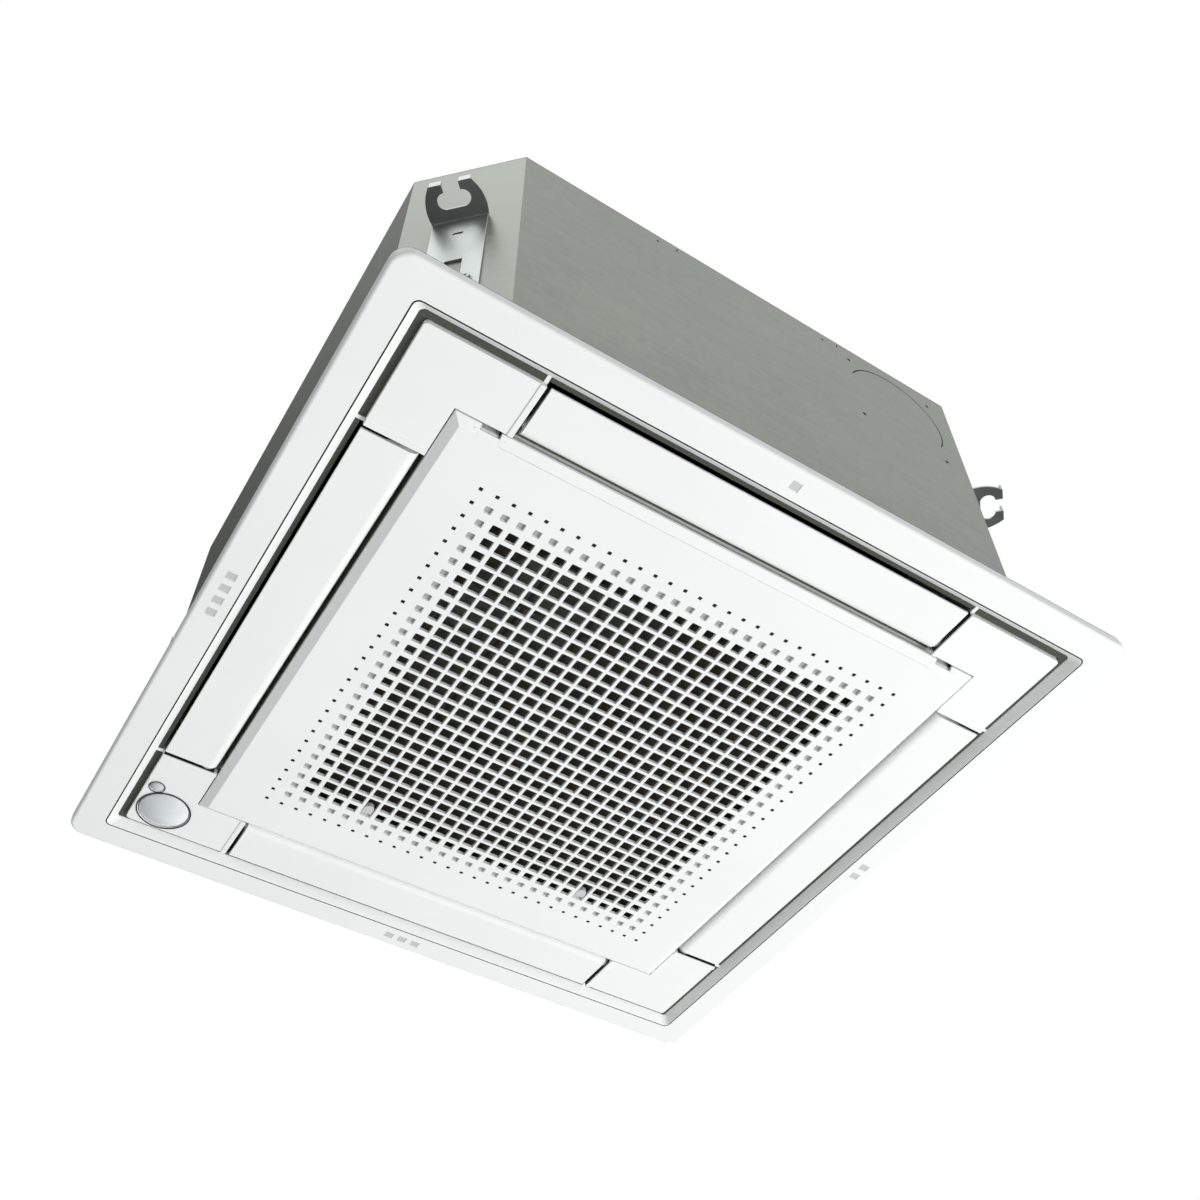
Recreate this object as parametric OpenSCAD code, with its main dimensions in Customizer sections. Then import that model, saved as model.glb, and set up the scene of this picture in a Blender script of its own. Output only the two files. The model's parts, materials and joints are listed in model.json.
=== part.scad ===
// Ceiling cassette air conditioner: a square unit that hangs above a suspended
// ceiling on four rods, with a flat four-way air panel below it.
// Z points up. The origin is the centre of the four suspension hooks, in the
// plane of their lower faces.

/* [Casing] */
// Width of the sheet steel casing across its flat sides
casing_w = 575; // [568:1:580]
// Height of the casing
casing_h = 260; // [250:1:300]
// Length of the corner chamfer along each side
casing_chamfer = 67; // [60:1:72]
// Thickness of the casing sheet
sheet_t = 1; // [0.8:0.1:1.2]
// Thickness of the insulation liner
liner_t = 12; // [8:1:13]

/* [Suspension] */
// How far inside the casing's faces the suspension rods hang
rod_inset = 21; // [19.5:0.5:22.5]
// Height of the hooks' lower faces above the panel's lowest face
hook_rise = 209; // [195:1:230]
// Width of the slot that takes a rod
rod_slot_w = 13; // [11:0.5:14]
// Length of that slot across the hook
rod_slot_l = 26; // [22:1:28]
// Thickness of the bracket plate
bracket_t = 2; // [1.5:0.5:3]
// Width of the bracket plate
bracket_w = 44; // [42:1:50]

/* [Panel] */
// How far the panel's flange stands out past the casing
panel_overhang = 22.5; // [20.5:0.5:32.5]
// Height of the panel from its lowest face to its top deck
panel_h = 46; // [42:1:50]
// Height of the flange's outer edge, below the ceiling surface
flange_edge_h = 9; // [8:0.5:12]
// How far the bevelled recess's edge stands inside the casing's faces
recess_inset = 2.5; // [2.5:0.5:4.5]
// Depth of the bevelled recess
recess_depth = 7; // [6:0.5:8]
// Radius of the flange's corners in plan
panel_corner_r = 14; // [8:1:20]

/* [Flaps] */
// Width of one air flap
flap_w = 43.7; // [43:0.1:45]
// Distance from a flap's end to the flat of the recess's far side
corner_room = 92.3; // [91:0.1:102]
// Thickness of the flap's skin
flap_t = 2.5; // [2:0.5:3]
// Radius of the flap's rolled inner edge, which is round its hinge axis
flap_roll_r = 8; // [7.5:0.5:9]
// Radius of the flap's hinge pins
flap_pin_r = 3; // [2.5:0.5:3.5]

/* [Grille] */
// Width of the slope round the grille's flat face
grille_slope_w = 6.8; // [6.4:0.1:8.2]
// Thickness of the grille's plate
grille_t = 3; // [2.5:0.5:3.5]
// Plain border of the grille's face round its holes
field_margin = 30; // [28:0.5:33]
// Width of the bar between two large holes
hole_bar = 2.6; // [2:0.1:4]

/* [Filter] */
// How far the air filter stands inside the edge of the grille's face
filter_inset = 11.5; // [10.5:0.5:16.5]
// Strand of the filter net
net_strand = 1.2; // [1:0.1:2]

/* [Fan] */
// Gap between the fan wheel and the heat exchanger
fan_side_gap = 18; // [16:1:30]
// Height above the fan wheel for its motor's mount
fan_top_room = 75; // [71:1:90]
// Number of fan blades
fan_blades = 7; // [5:1:9]
// How far the bell mouth's throat stands inside the fan's rim
throat_inset = 26; // [24:1:37]
// Radius of the fan motor
motor_r = 52; // [40:1:53]

/* [Heat exchanger] */
// How far the heat exchanger stands inside the casing's faces
coil_inset = 71.5; // [68.5:0.5:73.5]
// Depth of the finned ring
coil_d = 26; // [20:1:28]
// Distance between the fins that are drawn
fin_pitch = 12; // [8:0.5:16]

/* [Pipes] */
// Outer radius of the gas pipe
gas_pipe_r = 6.35; // [4.76:0.01:7.94]
// Outer radius of the liquid pipe
liquid_pipe_r = 3.175; // [3.1:0.005:4.77]
// Outer radius of the drain socket
drain_r = 13; // [11:0.5:14]
// How far the pipes stand out of the casing
pipe_out = 50; // [40:1:60]

/* [Fresh air] */
// Radius of the fresh air knock-out
knockout_r = 50; // [46:0.5:51]
// Distance between its four screw holes
knockout_pitch = 90; // [89:0.5:92]
// Radius of those screw holes
knockout_hole_r = 1.8; // [1.5:0.1:2.5]

/* [Sensor] */
// Radius of the large sensor dome
sensor_r = 20.5; // [17:0.5:22]
// Radius of the small sensor dome
spot_r = 5.5; // [4:0.5:6]

/* [Hidden] */

$fn = 64;
// Facets of the few blended shapes
blend_fn = 32;
// How far every cut runs past the face it opens
over = 1;
// Clearance between parts that touch but are not joined
touch = 0.3;
// Radial clearance of a pin in its bearing
pin_gap = 0.06;

// Heights: up(h) is h above the panel's lowest face
flange_z = -hook_rise;
function up(h) = flange_z + h;

// Widths and heights that follow the casing's
casing_half = casing_w / 2;
rod_pitch = casing_w - 2 * rod_inset;
panel_w = casing_w + 2 * panel_overhang;
recess_w = casing_w - 2 * recess_inset;
coil_w = casing_w - 2 * coil_inset;

// Flange and recess
flange_t = 3;
flange_lip_w = 3;
recess_half = recess_w / 2;
recess_slope_w = 7;
recess_top_half = recess_half - recess_slope_w;
recess_corner_r = 5;
recess_edge_w = 0.6;
seam_w = 0.3;
ledge_w = 11;
ledge_t = 2.5;
frame_wall = 3;
deck_t = 2.5;
seal_t = 4;
seal_w = 6;

// Outlet marks on the flange
mark_side = 7.5;
mark_h = 0.4;
mark_pitch = 13;
mark_inset = 11.5;

// Casing
casing_z = up(panel_h + seal_t);
casing_top_z = casing_z + casing_h;
return_w = 14;
top_return_w = 12;
bead_w = 14;
bead_depth = 3;
bead_share = 0.62;
bead_gap_share = 0.55;

// Liner, drain pan and bell mouth
liner_disc_t = 12;
liner_hole_gap = 36;
liner_hole_r = motor_r + liner_hole_gap;
pan_h = 49;
pan_floor_t = 33;
pan_z = casing_z + sheet_t;
pan_rim_w = 7;
pan_lip_w = 12;
pan_play = 0.5;
bell_plate_t = 3;
bell_t = 3;
bell_flare = 19;
bell_rim_w = 2;
bell_play = 3;
bell_rise = 55;

// Flaps
flap_sink = 3;
flap_end_gap = 3.3;
flap_outer_gap = 6;
flap_inner_gap = 3;
flap_outer = recess_top_half - flap_outer_gap;
flap_inner = flap_outer - flap_w;
flap_l = 2 * (flap_outer - corner_room);
grille_half = flap_inner - flap_inner_gap;
flap_axis_x = flap_inner + flap_roll_r;
flap_axis_z = up(flap_sink + flap_roll_r);
duct_end = flap_l / 2 + flap_end_gap;
flap_arm_t = 3;
flap_arm_r = 4.6;
flap_arm_foot = 18;
bush_r = 5;
bush_flange_r = 6.5;
bush_flange_t = 1;
duct_wall_gap = 1.3;
duct_wall_outer = grille_half - duct_wall_gap;
duct_wall_t = 2.5;
duct_wall_inner = duct_wall_outer - duct_wall_t;
duct_wall_low = 12.3;
end_wall_t = 3;
room_start = duct_end + end_wall_t;

// Flap motors
flap_motor_r = 11;
flap_motor_l = 18;
flap_motor_ear = 15;
flap_motor_ear_w = 6;
flap_motor_ear_t = 1;
flap_motor_offset = 8;
flap_pin_tail = 5;
flap_drive_tail = 10;

// Corner covers
cover_t = 2.5;
cover_lip_w = 4.5;
cover_lip_h = 0.8;
cover_gap = 1;
cover_rim_w = 2.5;
cover_corner_r = 3;
shelf_w = 11;
shelf_z = 12;
shelf_t = 2.5;
panel_screw_inset = 25.5;
panel_screw_at = flap_outer - panel_screw_inset;
panel_screw_r = 2.5;
panel_screw_head_r = 5;
panel_screw_head_h = 3.5;
panel_screw_l = 18;
screw_play = 0.5;

// Grille
grille_drop = 2;
grille_rim_rise = 3;
grille_face_half = grille_half - grille_slope_w;
hinge_set = 0.03;
grille_axis_y = -grille_face_half - hinge_set;
grille_axis_z = up(5);
hole_rows = 29;
hole_mid_index = (hole_rows - 1) / 2;
hole_pitch = 2 * (grille_face_half - field_margin) / hole_rows;
hole_medium_share = 0.64;
hole_dimple_share = 0.46;
hole_dot_share = 0.23;
hole_large = hole_pitch - hole_bar;
hole_medium = hole_pitch * hole_medium_share;
hole_dimple = hole_pitch * hole_dimple_share;
hole_dot = hole_pitch * hole_dot_share;
dimple_depth = 2.2;
grille_wall_w = 2.5;
grille_wall_h = 9;
filter_half = grille_face_half - filter_inset;
filter_side_gap = 3;
grille_wall_half = filter_half + filter_side_gap;
filter_seat_w = 2;
filter_seat_in = 4;
filter_seat_half = filter_half - filter_seat_in;
filter_seat_h = 2.6;
hinge_inset = 27.8;
hinge_x = grille_half - hinge_inset;
hinge_w = 13.8;
hinge_play = 0.6;
hinge_r = 3.6;
hinge_pin_r = 2;
hinge_arm_w = 4;
hinge_slit_y = 4.2;
hinge_root_h = 4;

// Filter
filter_h = 4.4;
filter_rim_w = 5;
filter_rib_w = 2;
filter_ribs = 7;
net_t = 0.6;
net_cells = 15;

// Latches
latch_column = 8;
latch_set = 2.5;
latch_x = latch_column * hole_pitch;
latch_y = (hole_mid_index - 2.5) * hole_pitch + latch_set;
latch_w = 12;
latch_t = 2;
latch_tongue_play = 1.6;
latch_tongue_w = hole_large - latch_tongue_play;
latch_tongue_l = 9.5;
latch_tongue_drop = 3;
latch_nose_l = 6;
latch_nose_z = 9;

// Suspension brackets
chamfer_out = (2 * casing_half - casing_chamfer) / sqrt(2);
rod_out = rod_pitch / sqrt(2) - chamfer_out;
hook_beyond = 13.3;
hook_reach = rod_out + hook_beyond;
hook_bulge_share = 0.55;
hook_bulge = 4.5;
hook_tip_w = 33;
hook_lip_h = 8;
bracket_foot = 10;
bracket_drop = -casing_z - bracket_foot;
bracket_slot_w = 8;
bracket_slot_h = 3;
bracket_slot_z = -25;
bracket_window_w = 13;
bracket_window_h = 22;
bracket_window_up = 68;
bracket_window_z = bracket_window_up - bracket_drop;
bracket_screw_ups = [44, 19];
bracket_screw_zs = [for (h = bracket_screw_ups) h - bracket_drop];
bracket_screw_x = 12;
bracket_screw_r = 2.5;
bracket_screw_head_r = 5;
bracket_screw_head_h = 3;
bracket_screw_l = 9;

// Fan and motor
coil_half = coil_w / 2;
fan_r = coil_half - coil_d - fan_side_gap;
fan_h = casing_h - bell_rise - fan_top_room;
throat_r = fan_r - throat_inset;
fan_gap = 7;
fan_shroud_r = throat_r + bell_t + bell_play;
fan_z = casing_z + bell_rise;
fan_top_z = fan_z + fan_h;
fan_skin = 2.5;
fan_blade_t = 3;
fan_blade_in_share = 0.68;
fan_blade_turn = 38;
blade_root_share = 1.3;
blade_taper_share = 0.6;
shroud_share = 0.17;
shroud_lip_share = 0.7;
fan_hub_gap = 10;
fan_hub_r = motor_r + fan_hub_gap;
fan_hub_drop = 40;
fan_boss_r = 14;
fan_boss_h = 18;
shaft_r = 5;
shaft_end_gap = 1;
shaft_thread_r = 4;
shaft_thread_l = 14;
nut_r = 8;
nut_h = 8;
motor_h = 56;
motor_sink = 6;
motor_z = fan_top_z - motor_sink;
motor_collar_r = 15;
motor_collar_h = 5;
motor_flange_t = 3;
motor_ear_out = 16;
motor_ear_at = motor_r + motor_ear_out;
motor_ear_r = 11;
motor_bush_r = 10;
motor_stud_r = 3;
motor_nut_r = 5.5;
motor_nut_h = 5;
motor_shaft_in = 20;

// Heat exchanger
coil_corner_r = 50;
coil_corner_room = 66;
coil_end = coil_half - coil_corner_room;
tube_row_share = 0.25;
fin_slot_w = 2.4;
fin_slot_depth = 4;
tube_r = 3.5;
tube_rows = 8;
end_plate_t = 1.5;
end_plate_w = 34;
header_wall = 2;
header_top = 14;
feed_r = 1.8;
feed_tubes = 2;

// Pipes
pipe_inset = 106.5;
pipe_y = casing_half - pipe_inset;
pipe_drop = 70;
pipe_pitch = 40;
liquid_pipe_h = casing_h - pipe_drop;
gas_pipe_h = liquid_pipe_h - pipe_pitch;
pipe_bead_gap = 0.1;
pipe_bead_w = 2;
pipe_bead_rise = 1;
flare_nut_wall = 5;
flare_nut_l = 22;
flare_nut_gap = 6;
pipe_bore_share = 0.84;
cover_plate_w = 62;
cover_plate_h = 96;
pipe_hole_w = 46;
pipe_hole_h = 80;

// Drain parts
pump_inset_x = 87.5;
pump_inset_y = 61.5;
sump_inset = 41.5;
pump_x = casing_half - pump_inset_x;
pump_y = casing_half - pump_inset_y;
sump_out = casing_half - sump_inset;
pump_r = 20;
pump_h = 46;
pump_lift = 14;
pump_z = pan_z + pan_floor_t + pump_lift;
pump_foot_h = 12;
pump_foot_r = 12;
pump_leg_r = 1;
pump_leg_inset = 0.25;
impeller_r = 8.5;
impeller_h = 7;
impeller_shaft_r = 2;
impeller_hub_r = 3;
impeller_vane_t = 1;
impeller_gap = 1;
float_inset_x = 53.5;
float_inset_y = 79.5;
float_x = casing_half - float_inset_x;
float_y = casing_half - float_inset_y;
float_stem_r = 2.5;
float_ring_r = 9;
float_ring_h = 10;
float_stem_h = 34;
float_cap_r = 6;
float_cap_h = 3;
drain_hose_r = 7;
drain_arm_r = 5.5;
drain_wall = 2;
drain_h = casing_h - pipe_drop;
drain_socket_flange_w = 5;
drain_socket_flange_t = 2;

// Control box
box_inset = 100.5;
box_x = box_inset - casing_half;
box_w = 48;
box_end_room = 137.5;
box_l = 2 * (casing_half - box_end_room);
box_h = 24;
box_t = 1;
board_t = 1.6;
board_gap = 4;
board_edge = 5;
chip_w = 14;
chip_h = 6;
chips = 6;
grommet_inset = 137.5;
grommet_x = grommet_inset - casing_half;
grommet_z = 40;
grommet_r = 11;
grommet_hole_r = 7;
grommet_lip_w = 3;
grommet_lip_t = 2;

// Knock-out and small marks in the -Y side of the casing
knockout_inset = 134.5;
knockout_drop = 65;
knockout_x = casing_half - knockout_inset;
knockout_h = casing_h - knockout_drop;
knockout_slit_w = 1.2;
knockout_from_deg = -26;
knockout_to_deg = 153;
knockout_bridge_deg = 26;
bridge_deg = 1.5;
slit_w = 1.4;
slit_h = 8;
slit_xs = [-73.7, 97];
dot_xs = [-93.3, 80];
dot_r = 1.3;
dot_drop = 10.5;

// Sensor
sensor_edge_gap = 4;
sensor_inset = sensor_r + sensor_edge_gap;
spot_side_share = 0.5;
spot_side_gap = 14.85;
spot_inset_x = sensor_inset + sensor_r * spot_side_share + spot_side_gap;
spot_inset_y = 9.5;
sensor_at = [flap_outer - sensor_inset, flap_outer - sensor_inset];
spot_at = [flap_outer - spot_inset_x, flap_outer - spot_inset_y];
sensor_gap = 0.9;
sensor_seat = 0.5;
sensor_dome_h = 7;
sensor_body_in = 3.5;
sensor_body_r = sensor_r - sensor_body_in;
sensor_body_h = 16;
spot_dome_h = 3;

// Outlet k is on side k, and corner k follows it anticlockwise
function side_angle(k) = 90 * (k - 2);

// Square in plan with rounded corners, given by half its width
module rounded_square(half, r) {
  square([2 * half, 2 * (half - r)], center = true);
  square([2 * (half - r), 2 * half], center = true);
  for (i = [-1, 1], j = [-1, 1])
    translate([i * (half - r), j * (half - r)])
      circle(r);
}

// Octagon in plan with flat sides and equal chamfers
module octagon(half, leg) {
  c = half - leg;
  polygon([[half, c], [c, half], [-c, half], [-half, c],
    [-half, -c], [-c, -half], [c, -half], [half, -c]]);
}

// Chamfer of an inset octagon, so that its slanted walls keep their thickness
function inset_leg(t) = casing_chamfer - t * (2 - sqrt(2));

module casing_octagon(inset) {
  octagon(casing_half - inset, inset_leg(inset));
}

module slab(z, h) {
  translate([0, 0, z])
    linear_extrude(h)
      children();
}

module obround(l, w) {
  square([l - w, w], center = true);
  for (i = [-1, 1])
    translate([i * (l - w) / 2, 0])
      circle(w / 2);
}

// Turned so that X runs along a chamfer, Y points out of it and Z stays up
module on_chamfer(k) {
  rotate(side_angle(k) - 45)
    translate([0, chamfer_out, 0])
      children();
}

module on_side(k) {
  rotate(side_angle(k))
    children();
}

// CASING

module knockout_arc(from_deg, to_deg) {
  rotate([90, 0, 0])
    rotate(from_deg)
      rotate_extrude(angle = to_deg - from_deg)
        translate([knockout_r - knockout_slit_w / 2, -2 * sheet_t])
          square([knockout_slit_w, 4 * sheet_t]);
}

module knockout_cuts() {
  translate([knockout_x, -casing_half, casing_z + knockout_h]) {
    knockout_arc(knockout_from_deg, knockout_bridge_deg);
    knockout_arc(knockout_bridge_deg + bridge_deg, knockout_to_deg);
    for (i = [-1, 1], j = [-1, 1])
      translate([i * knockout_pitch / 2, 0, j * knockout_pitch / 2])
        rotate([90, 0, 0])
          cylinder(r = knockout_hole_r, h = 4 * sheet_t, center = true);
  }
}

module top_edge_marks() {
  for (x = slit_xs)
    translate([x - slit_w / 2, -casing_half - over, casing_top_z - sheet_t - slit_h])
      cube([slit_w, sheet_t + 2 * over, slit_h / 2]);
  for (x = dot_xs)
    translate([x, -casing_half, casing_top_z - dot_drop])
      rotate([90, 0, 0])
        cylinder(r = dot_r, h = 4 * sheet_t, center = true);
}

// Opening through the +X side for the pipes, and its copy in the liner
module pipe_hole(depth) {
  translate([casing_half - depth, pipe_y - pipe_hole_w / 2, casing_z + pipe_hole_z()])
    cube([depth + over, pipe_hole_w, pipe_hole_h]);
}

function pipe_hole_z() = (gas_pipe_h + liquid_pipe_h) / 2 - pipe_hole_h / 2;

module drain_hole(r, depth) {
  translate([pump_x, casing_half + over, casing_z + drain_h])
    rotate([90, 0, 0])
      cylinder(r = r, h = depth + over);
}

module casing_wrap() {
  wrap_h = casing_h - sheet_t;
  color([0.6, 0.63, 0.6])
    difference() {
      union() {
        slab(casing_z, wrap_h)
          difference() {
            casing_octagon(0);
            casing_octagon(sheet_t);
          }
        slab(casing_z, sheet_t)
          difference() {
            casing_octagon(sheet_t / 2);
            casing_octagon(return_w);
          }
        slab(casing_top_z - 2 * sheet_t, sheet_t)
          difference() {
            casing_octagon(sheet_t / 2);
            casing_octagon(top_return_w);
          }
      }
      knockout_cuts();
      top_edge_marks();
      pipe_hole(2 * sheet_t);
      drain_hole(drain_r + screw_play, 2 * sheet_t);
      translate([grommet_x, casing_half + over, casing_z + grommet_z])
        rotate([90, 0, 0])
          cylinder(r = grommet_r, h = 2 * sheet_t + over);
      for (k = [1:4])
        on_side(k)
          translate([panel_screw_at, panel_screw_at, casing_z - over])
            cylinder(r = panel_screw_r, h = sheet_t + 2 * over);
      for (k = [1:4])
        on_chamfer(k)
          bracket_screw_holes(bracket_screw_r);
    }
}

module bracket_screw_holes(r) {
  for (z = bracket_screw_zs, i = [-1, 1])
    translate([i * bracket_screw_x, bracket_t + over, z])
      rotate([90, 0, 0])
        cylinder(r = r, h = bracket_t + 2 * sheet_t + 2 * over);
}

// Channel pressed down into the top sheet, open above
module bead(l, w) {
  difference() {
    slab(casing_top_z - bead_depth, bead_depth - sheet_t / 2)
      obround(l, w);
    slab(casing_top_z - bead_depth + sheet_t, bead_depth)
      obround(l - 2 * sheet_t, w - 2 * sheet_t);
  }
}

module casing_top() {
  bead_l = casing_w * bead_share;
  bead_y = casing_half * bead_gap_share;
  color([0.62, 0.65, 0.62]) {
    difference() {
      slab(casing_top_z - sheet_t, sheet_t)
        casing_octagon(0);
      for (i = [-1, 1])
        translate([0, i * bead_y, 0])
          slab(casing_top_z - 2 * sheet_t, 3 * sheet_t)
            obround(bead_l - 2 * sheet_t, bead_w - 2 * sheet_t);
    }
    for (i = [-1, 1])
      translate([0, i * bead_y, 0])
        bead(bead_l, bead_w);
    for (a = [30:120:270])
      rotate(a)
        translate([motor_ear_at, 0, motor_ear_z - motor_nut_h])
          cylinder(r = motor_stud_r,
            h = casing_top_z - sheet_t / 2 - motor_ear_z + motor_nut_h);
  }
}

// The liner's disc stops under the beads of the top sheet
liner_top_z = casing_top_z - max(2 * sheet_t, bead_depth);
coil_top_z = liner_top_z - liner_disc_t;
coil_z = pan_z + pan_floor_t;

module casing_liner() {
  color([0.86, 0.86, 0.84])
    difference() {
      union() {
        slab(pan_z, liner_top_z - pan_z)
          difference() {
            casing_octagon(sheet_t);
            casing_octagon(sheet_t + liner_t);
          }
        slab(coil_top_z, liner_disc_t)
          difference() {
            casing_octagon(sheet_t);
            circle(liner_hole_r);
          }
      }
      difference() {
        slab(pan_z - over, pan_h + over)
          square(casing_w + over, center = true);
        for (k = [1:4])
          on_side(k)
            translate([casing_half - 2 * liner_t, -duct_end, pan_z - 2 * over])
              cube([2 * liner_t, 2 * duct_end, pan_h + 4 * over]);
      }
      pipe_hole(casing_half - coil_half);
      drain_hole(drain_r + screw_play, 2 * liner_t);
      translate([grommet_x, casing_half + over, casing_z + grommet_z])
        rotate([90, 0, 0])
          cylinder(r = grommet_r + grommet_lip_w,
            h = sheet_t + grommet_lip_t + screw_play + over);
      for (k = [1:4])
        on_chamfer(k)
          bracket_screw_cuts(bracket_screw_r);
    }
}

// SUSPENSION

// Points of a quadratic curve from a over b to c
function curve(a, b, c, n) = [for (i = [0:n])
  let (t = i / n) (1 - t) * (1 - t) * a + 2 * t * (1 - t) * b + t * t * c];

module hook_plate() {
  side = curve([bracket_w / 2, 0], [bracket_w / 2 + hook_bulge, hook_reach * hook_bulge_share],
    [hook_tip_w / 2, hook_reach], 8);
  other = [for (i = [len(side) - 1:-1:0]) [-side[i][0], side[i][1]]];
  difference() {
    polygon(concat(side, other));
    translate([0, rod_out])
      obround(rod_slot_l, rod_slot_w);
    translate([-rod_slot_w / 2, rod_out])
      square([rod_slot_w, hook_reach]);
  }
}

// Way for the screws' ends behind the casing sheet
module bracket_screw_cuts(r) {
  for (z = bracket_screw_zs, i = [-1, 1])
    translate([i * bracket_screw_x, 0, z])
      rotate([90, 0, 0])
        cylinder(r = r, h = bracket_screw_l);
}

module hanger_bracket() {
  lip_w = (hook_tip_w - rod_slot_w) / 2;
  color([0.7, 0.73, 0.71]) {
    slab(0, bracket_t)
      hook_plate();
    for (i = [-1, 1])
      translate([i * (rod_slot_w + lip_w) / 2 - lip_w / 2, hook_reach - bracket_t, 0])
        cube([lip_w, bracket_t, hook_lip_h]);
    difference() {
      translate([-bracket_w / 2, 0, -bracket_drop])
        cube([bracket_w, bracket_t, bracket_drop + bracket_t]);
      translate([0, -over, bracket_slot_z])
        rotate([-90, 0, 0])
          linear_extrude(bracket_t + 2 * over)
            obround(bracket_slot_w, bracket_slot_h);
      translate([-bracket_window_w / 2, -over, bracket_window_z - bracket_window_h / 2])
        cube([bracket_window_w, bracket_t + 2 * over, bracket_window_h]);
      bracket_screw_holes(bracket_screw_r);
    }
  }
}

module bracket_screws() {
  color([0.75, 0.76, 0.76])
    for (k = [1:4])
      on_chamfer(k)
        for (z = bracket_screw_zs, i = [-1, 1])
          translate([i * bracket_screw_x, bracket_t, z])
            rotate([90, 0, 0]) {
              cylinder(r = bracket_screw_r, h = bracket_screw_l);
              translate([0, 0, -bracket_screw_head_h])
                cylinder(r = bracket_screw_head_r, h = bracket_screw_head_h, $fn = 6);
            }
}

// FAN

motor_ear_z = motor_z + motor_h - motor_flange_t;

module fan_motor() {
  color([0.35, 0.36, 0.38])
    difference() {
      union() {
        translate([0, 0, motor_z])
          cylinder(r = motor_r, h = motor_h);
        translate([0, 0, motor_z - motor_collar_h])
          cylinder(r = motor_collar_r, h = motor_collar_h + over);
        for (a = [30:120:270])
          rotate(a) {
            translate([motor_ear_at, 0, motor_ear_z])
              cylinder(r = motor_ear_r, h = motor_flange_t);
            translate([0, -motor_ear_r, motor_ear_z])
              cube([motor_ear_at, 2 * motor_ear_r, motor_flange_t]);
          }
      }
      translate([0, 0, motor_z - motor_collar_h - over])
        cylinder(r = shaft_r + pin_gap, h = motor_collar_h + motor_shaft_in + over);
      for (a = [30:120:270])
        rotate(a)
          translate([motor_ear_at, 0, motor_ear_z - over])
            cylinder(r = motor_stud_r, h = motor_flange_t + 2 * over);
    }
}

module motor_bushes() {
  color([0.12, 0.12, 0.12])
    for (a = [30:120:270])
      rotate(a)
        translate([motor_ear_at, 0, motor_ear_z + motor_flange_t])
          difference() {
            cylinder(r = motor_bush_r,
              h = casing_top_z - sheet_t - motor_ear_z - motor_flange_t);
            translate([0, 0, -over])
              cylinder(r = motor_stud_r, h = casing_h);
          }
}

module motor_nuts() {
  color([0.75, 0.76, 0.76])
    for (a = [30:120:270])
      rotate(a)
        translate([motor_ear_at, 0, motor_ear_z - motor_nut_h])
          difference() {
            cylinder(r = motor_nut_r, h = motor_nut_h, $fn = 6);
            translate([0, 0, -over])
              cylinder(r = motor_stud_r, h = motor_nut_h + 2 * over);
          }
}

hub_floor_z = fan_top_z - fan_hub_drop;

module fan_blade() {
  r_in = fan_r * fan_blade_in_share;
  span = fan_r - r_in;
  lean = fan_blade_turn;
  translate([0, 0, fan_z + fan_gap])
    linear_extrude(fan_h - fan_gap - fan_skin / 2)
      polygon(concat(
        [for (i = [0:6]) let (t = i / 6, r = r_in + span * t, a = lean * t)
          [r * cos(a), r * sin(a)]],
        [for (i = [6:-1:0]) let (t = i / 6, r = r_in + span * t, a = lean * t + blade_arc(r, t))
          [r * cos(a), r * sin(a)]]));
}

// Angle that a blade's thickness takes up at radius r, thinner towards the tip
function blade_arc(r, t) = (fan_blade_t * (blade_root_share - blade_taper_share * t)) / r * 180 / PI;

module fan_wheel() {
  shroud_top_z = fan_z + fan_h * shroud_share;
  inner_r = fan_shroud_r + fan_skin * shroud_lip_share;
  color([0.3, 0.31, 0.32])
    difference() {
      union() {
        // Back plate, hub bell and its boss
        difference() {
          translate([0, 0, fan_top_z - fan_skin])
            cylinder(r = fan_r, h = fan_skin);
          translate([0, 0, fan_top_z - fan_skin - over])
            cylinder(r = fan_hub_r, h = fan_skin + 2 * over);
        }
        difference() {
          translate([0, 0, hub_floor_z])
            cylinder(r = fan_hub_r + fan_skin, h = fan_hub_drop);
          translate([0, 0, hub_floor_z + fan_skin])
            cylinder(r = fan_hub_r, h = fan_hub_drop);
        }
        translate([0, 0, hub_floor_z])
          cylinder(r = fan_boss_r, h = fan_boss_h);
        // Inlet shroud: a rolled throat and a flat skirt
        rotate_extrude()
          polygon(concat(
            [for (i = [0:6]) let (a = 15 * i)
              [fan_shroud_r + (fan_r - fan_shroud_r) * (1 - cos(a)),
                fan_z + (shroud_top_z - fan_z) * sin(a)]],
            [for (i = [6:-1:0]) let (a = 15 * i)
              [inner_r + (fan_r - inner_r) * (1 - cos(a)),
                fan_z + (shroud_top_z - fan_skin - fan_z) * sin(a)]]));
        intersection() {
          union()
            for (i = [0:fan_blades - 1])
              rotate(360 * i / fan_blades)
                fan_blade();
          fan_envelope(shroud_top_z);
        }
      }
      translate([0, 0, hub_floor_z - over])
        cylinder(r = shaft_r, h = fan_boss_h + 2 * over);
    }
}

// Space between shroud, bell mouth and back plate that the blades fill
module fan_envelope(shroud_top_z) {
  low = fan_z + fan_gap + bell_play;
  mid_r = fan_shroud_r + fan_skin * shroud_lip_share / 2;
  mid_h = shroud_top_z - fan_skin / 2 - fan_z;
  start = asin(min(0.9, (low - fan_z) / mid_h));
  rotate_extrude()
    polygon(concat(
      [[fan_hub_r, fan_top_z - fan_skin / 2], [fan_hub_r, low], [fan_shroud_r, low]],
      [for (i = [0:4]) let (a = start + (90 - start) * i / 4)
        [mid_r + (fan_r - mid_r) * (1 - cos(a)), fan_z + mid_h * sin(a)]],
      [[fan_r, fan_top_z - fan_skin / 2]]));
}

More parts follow.
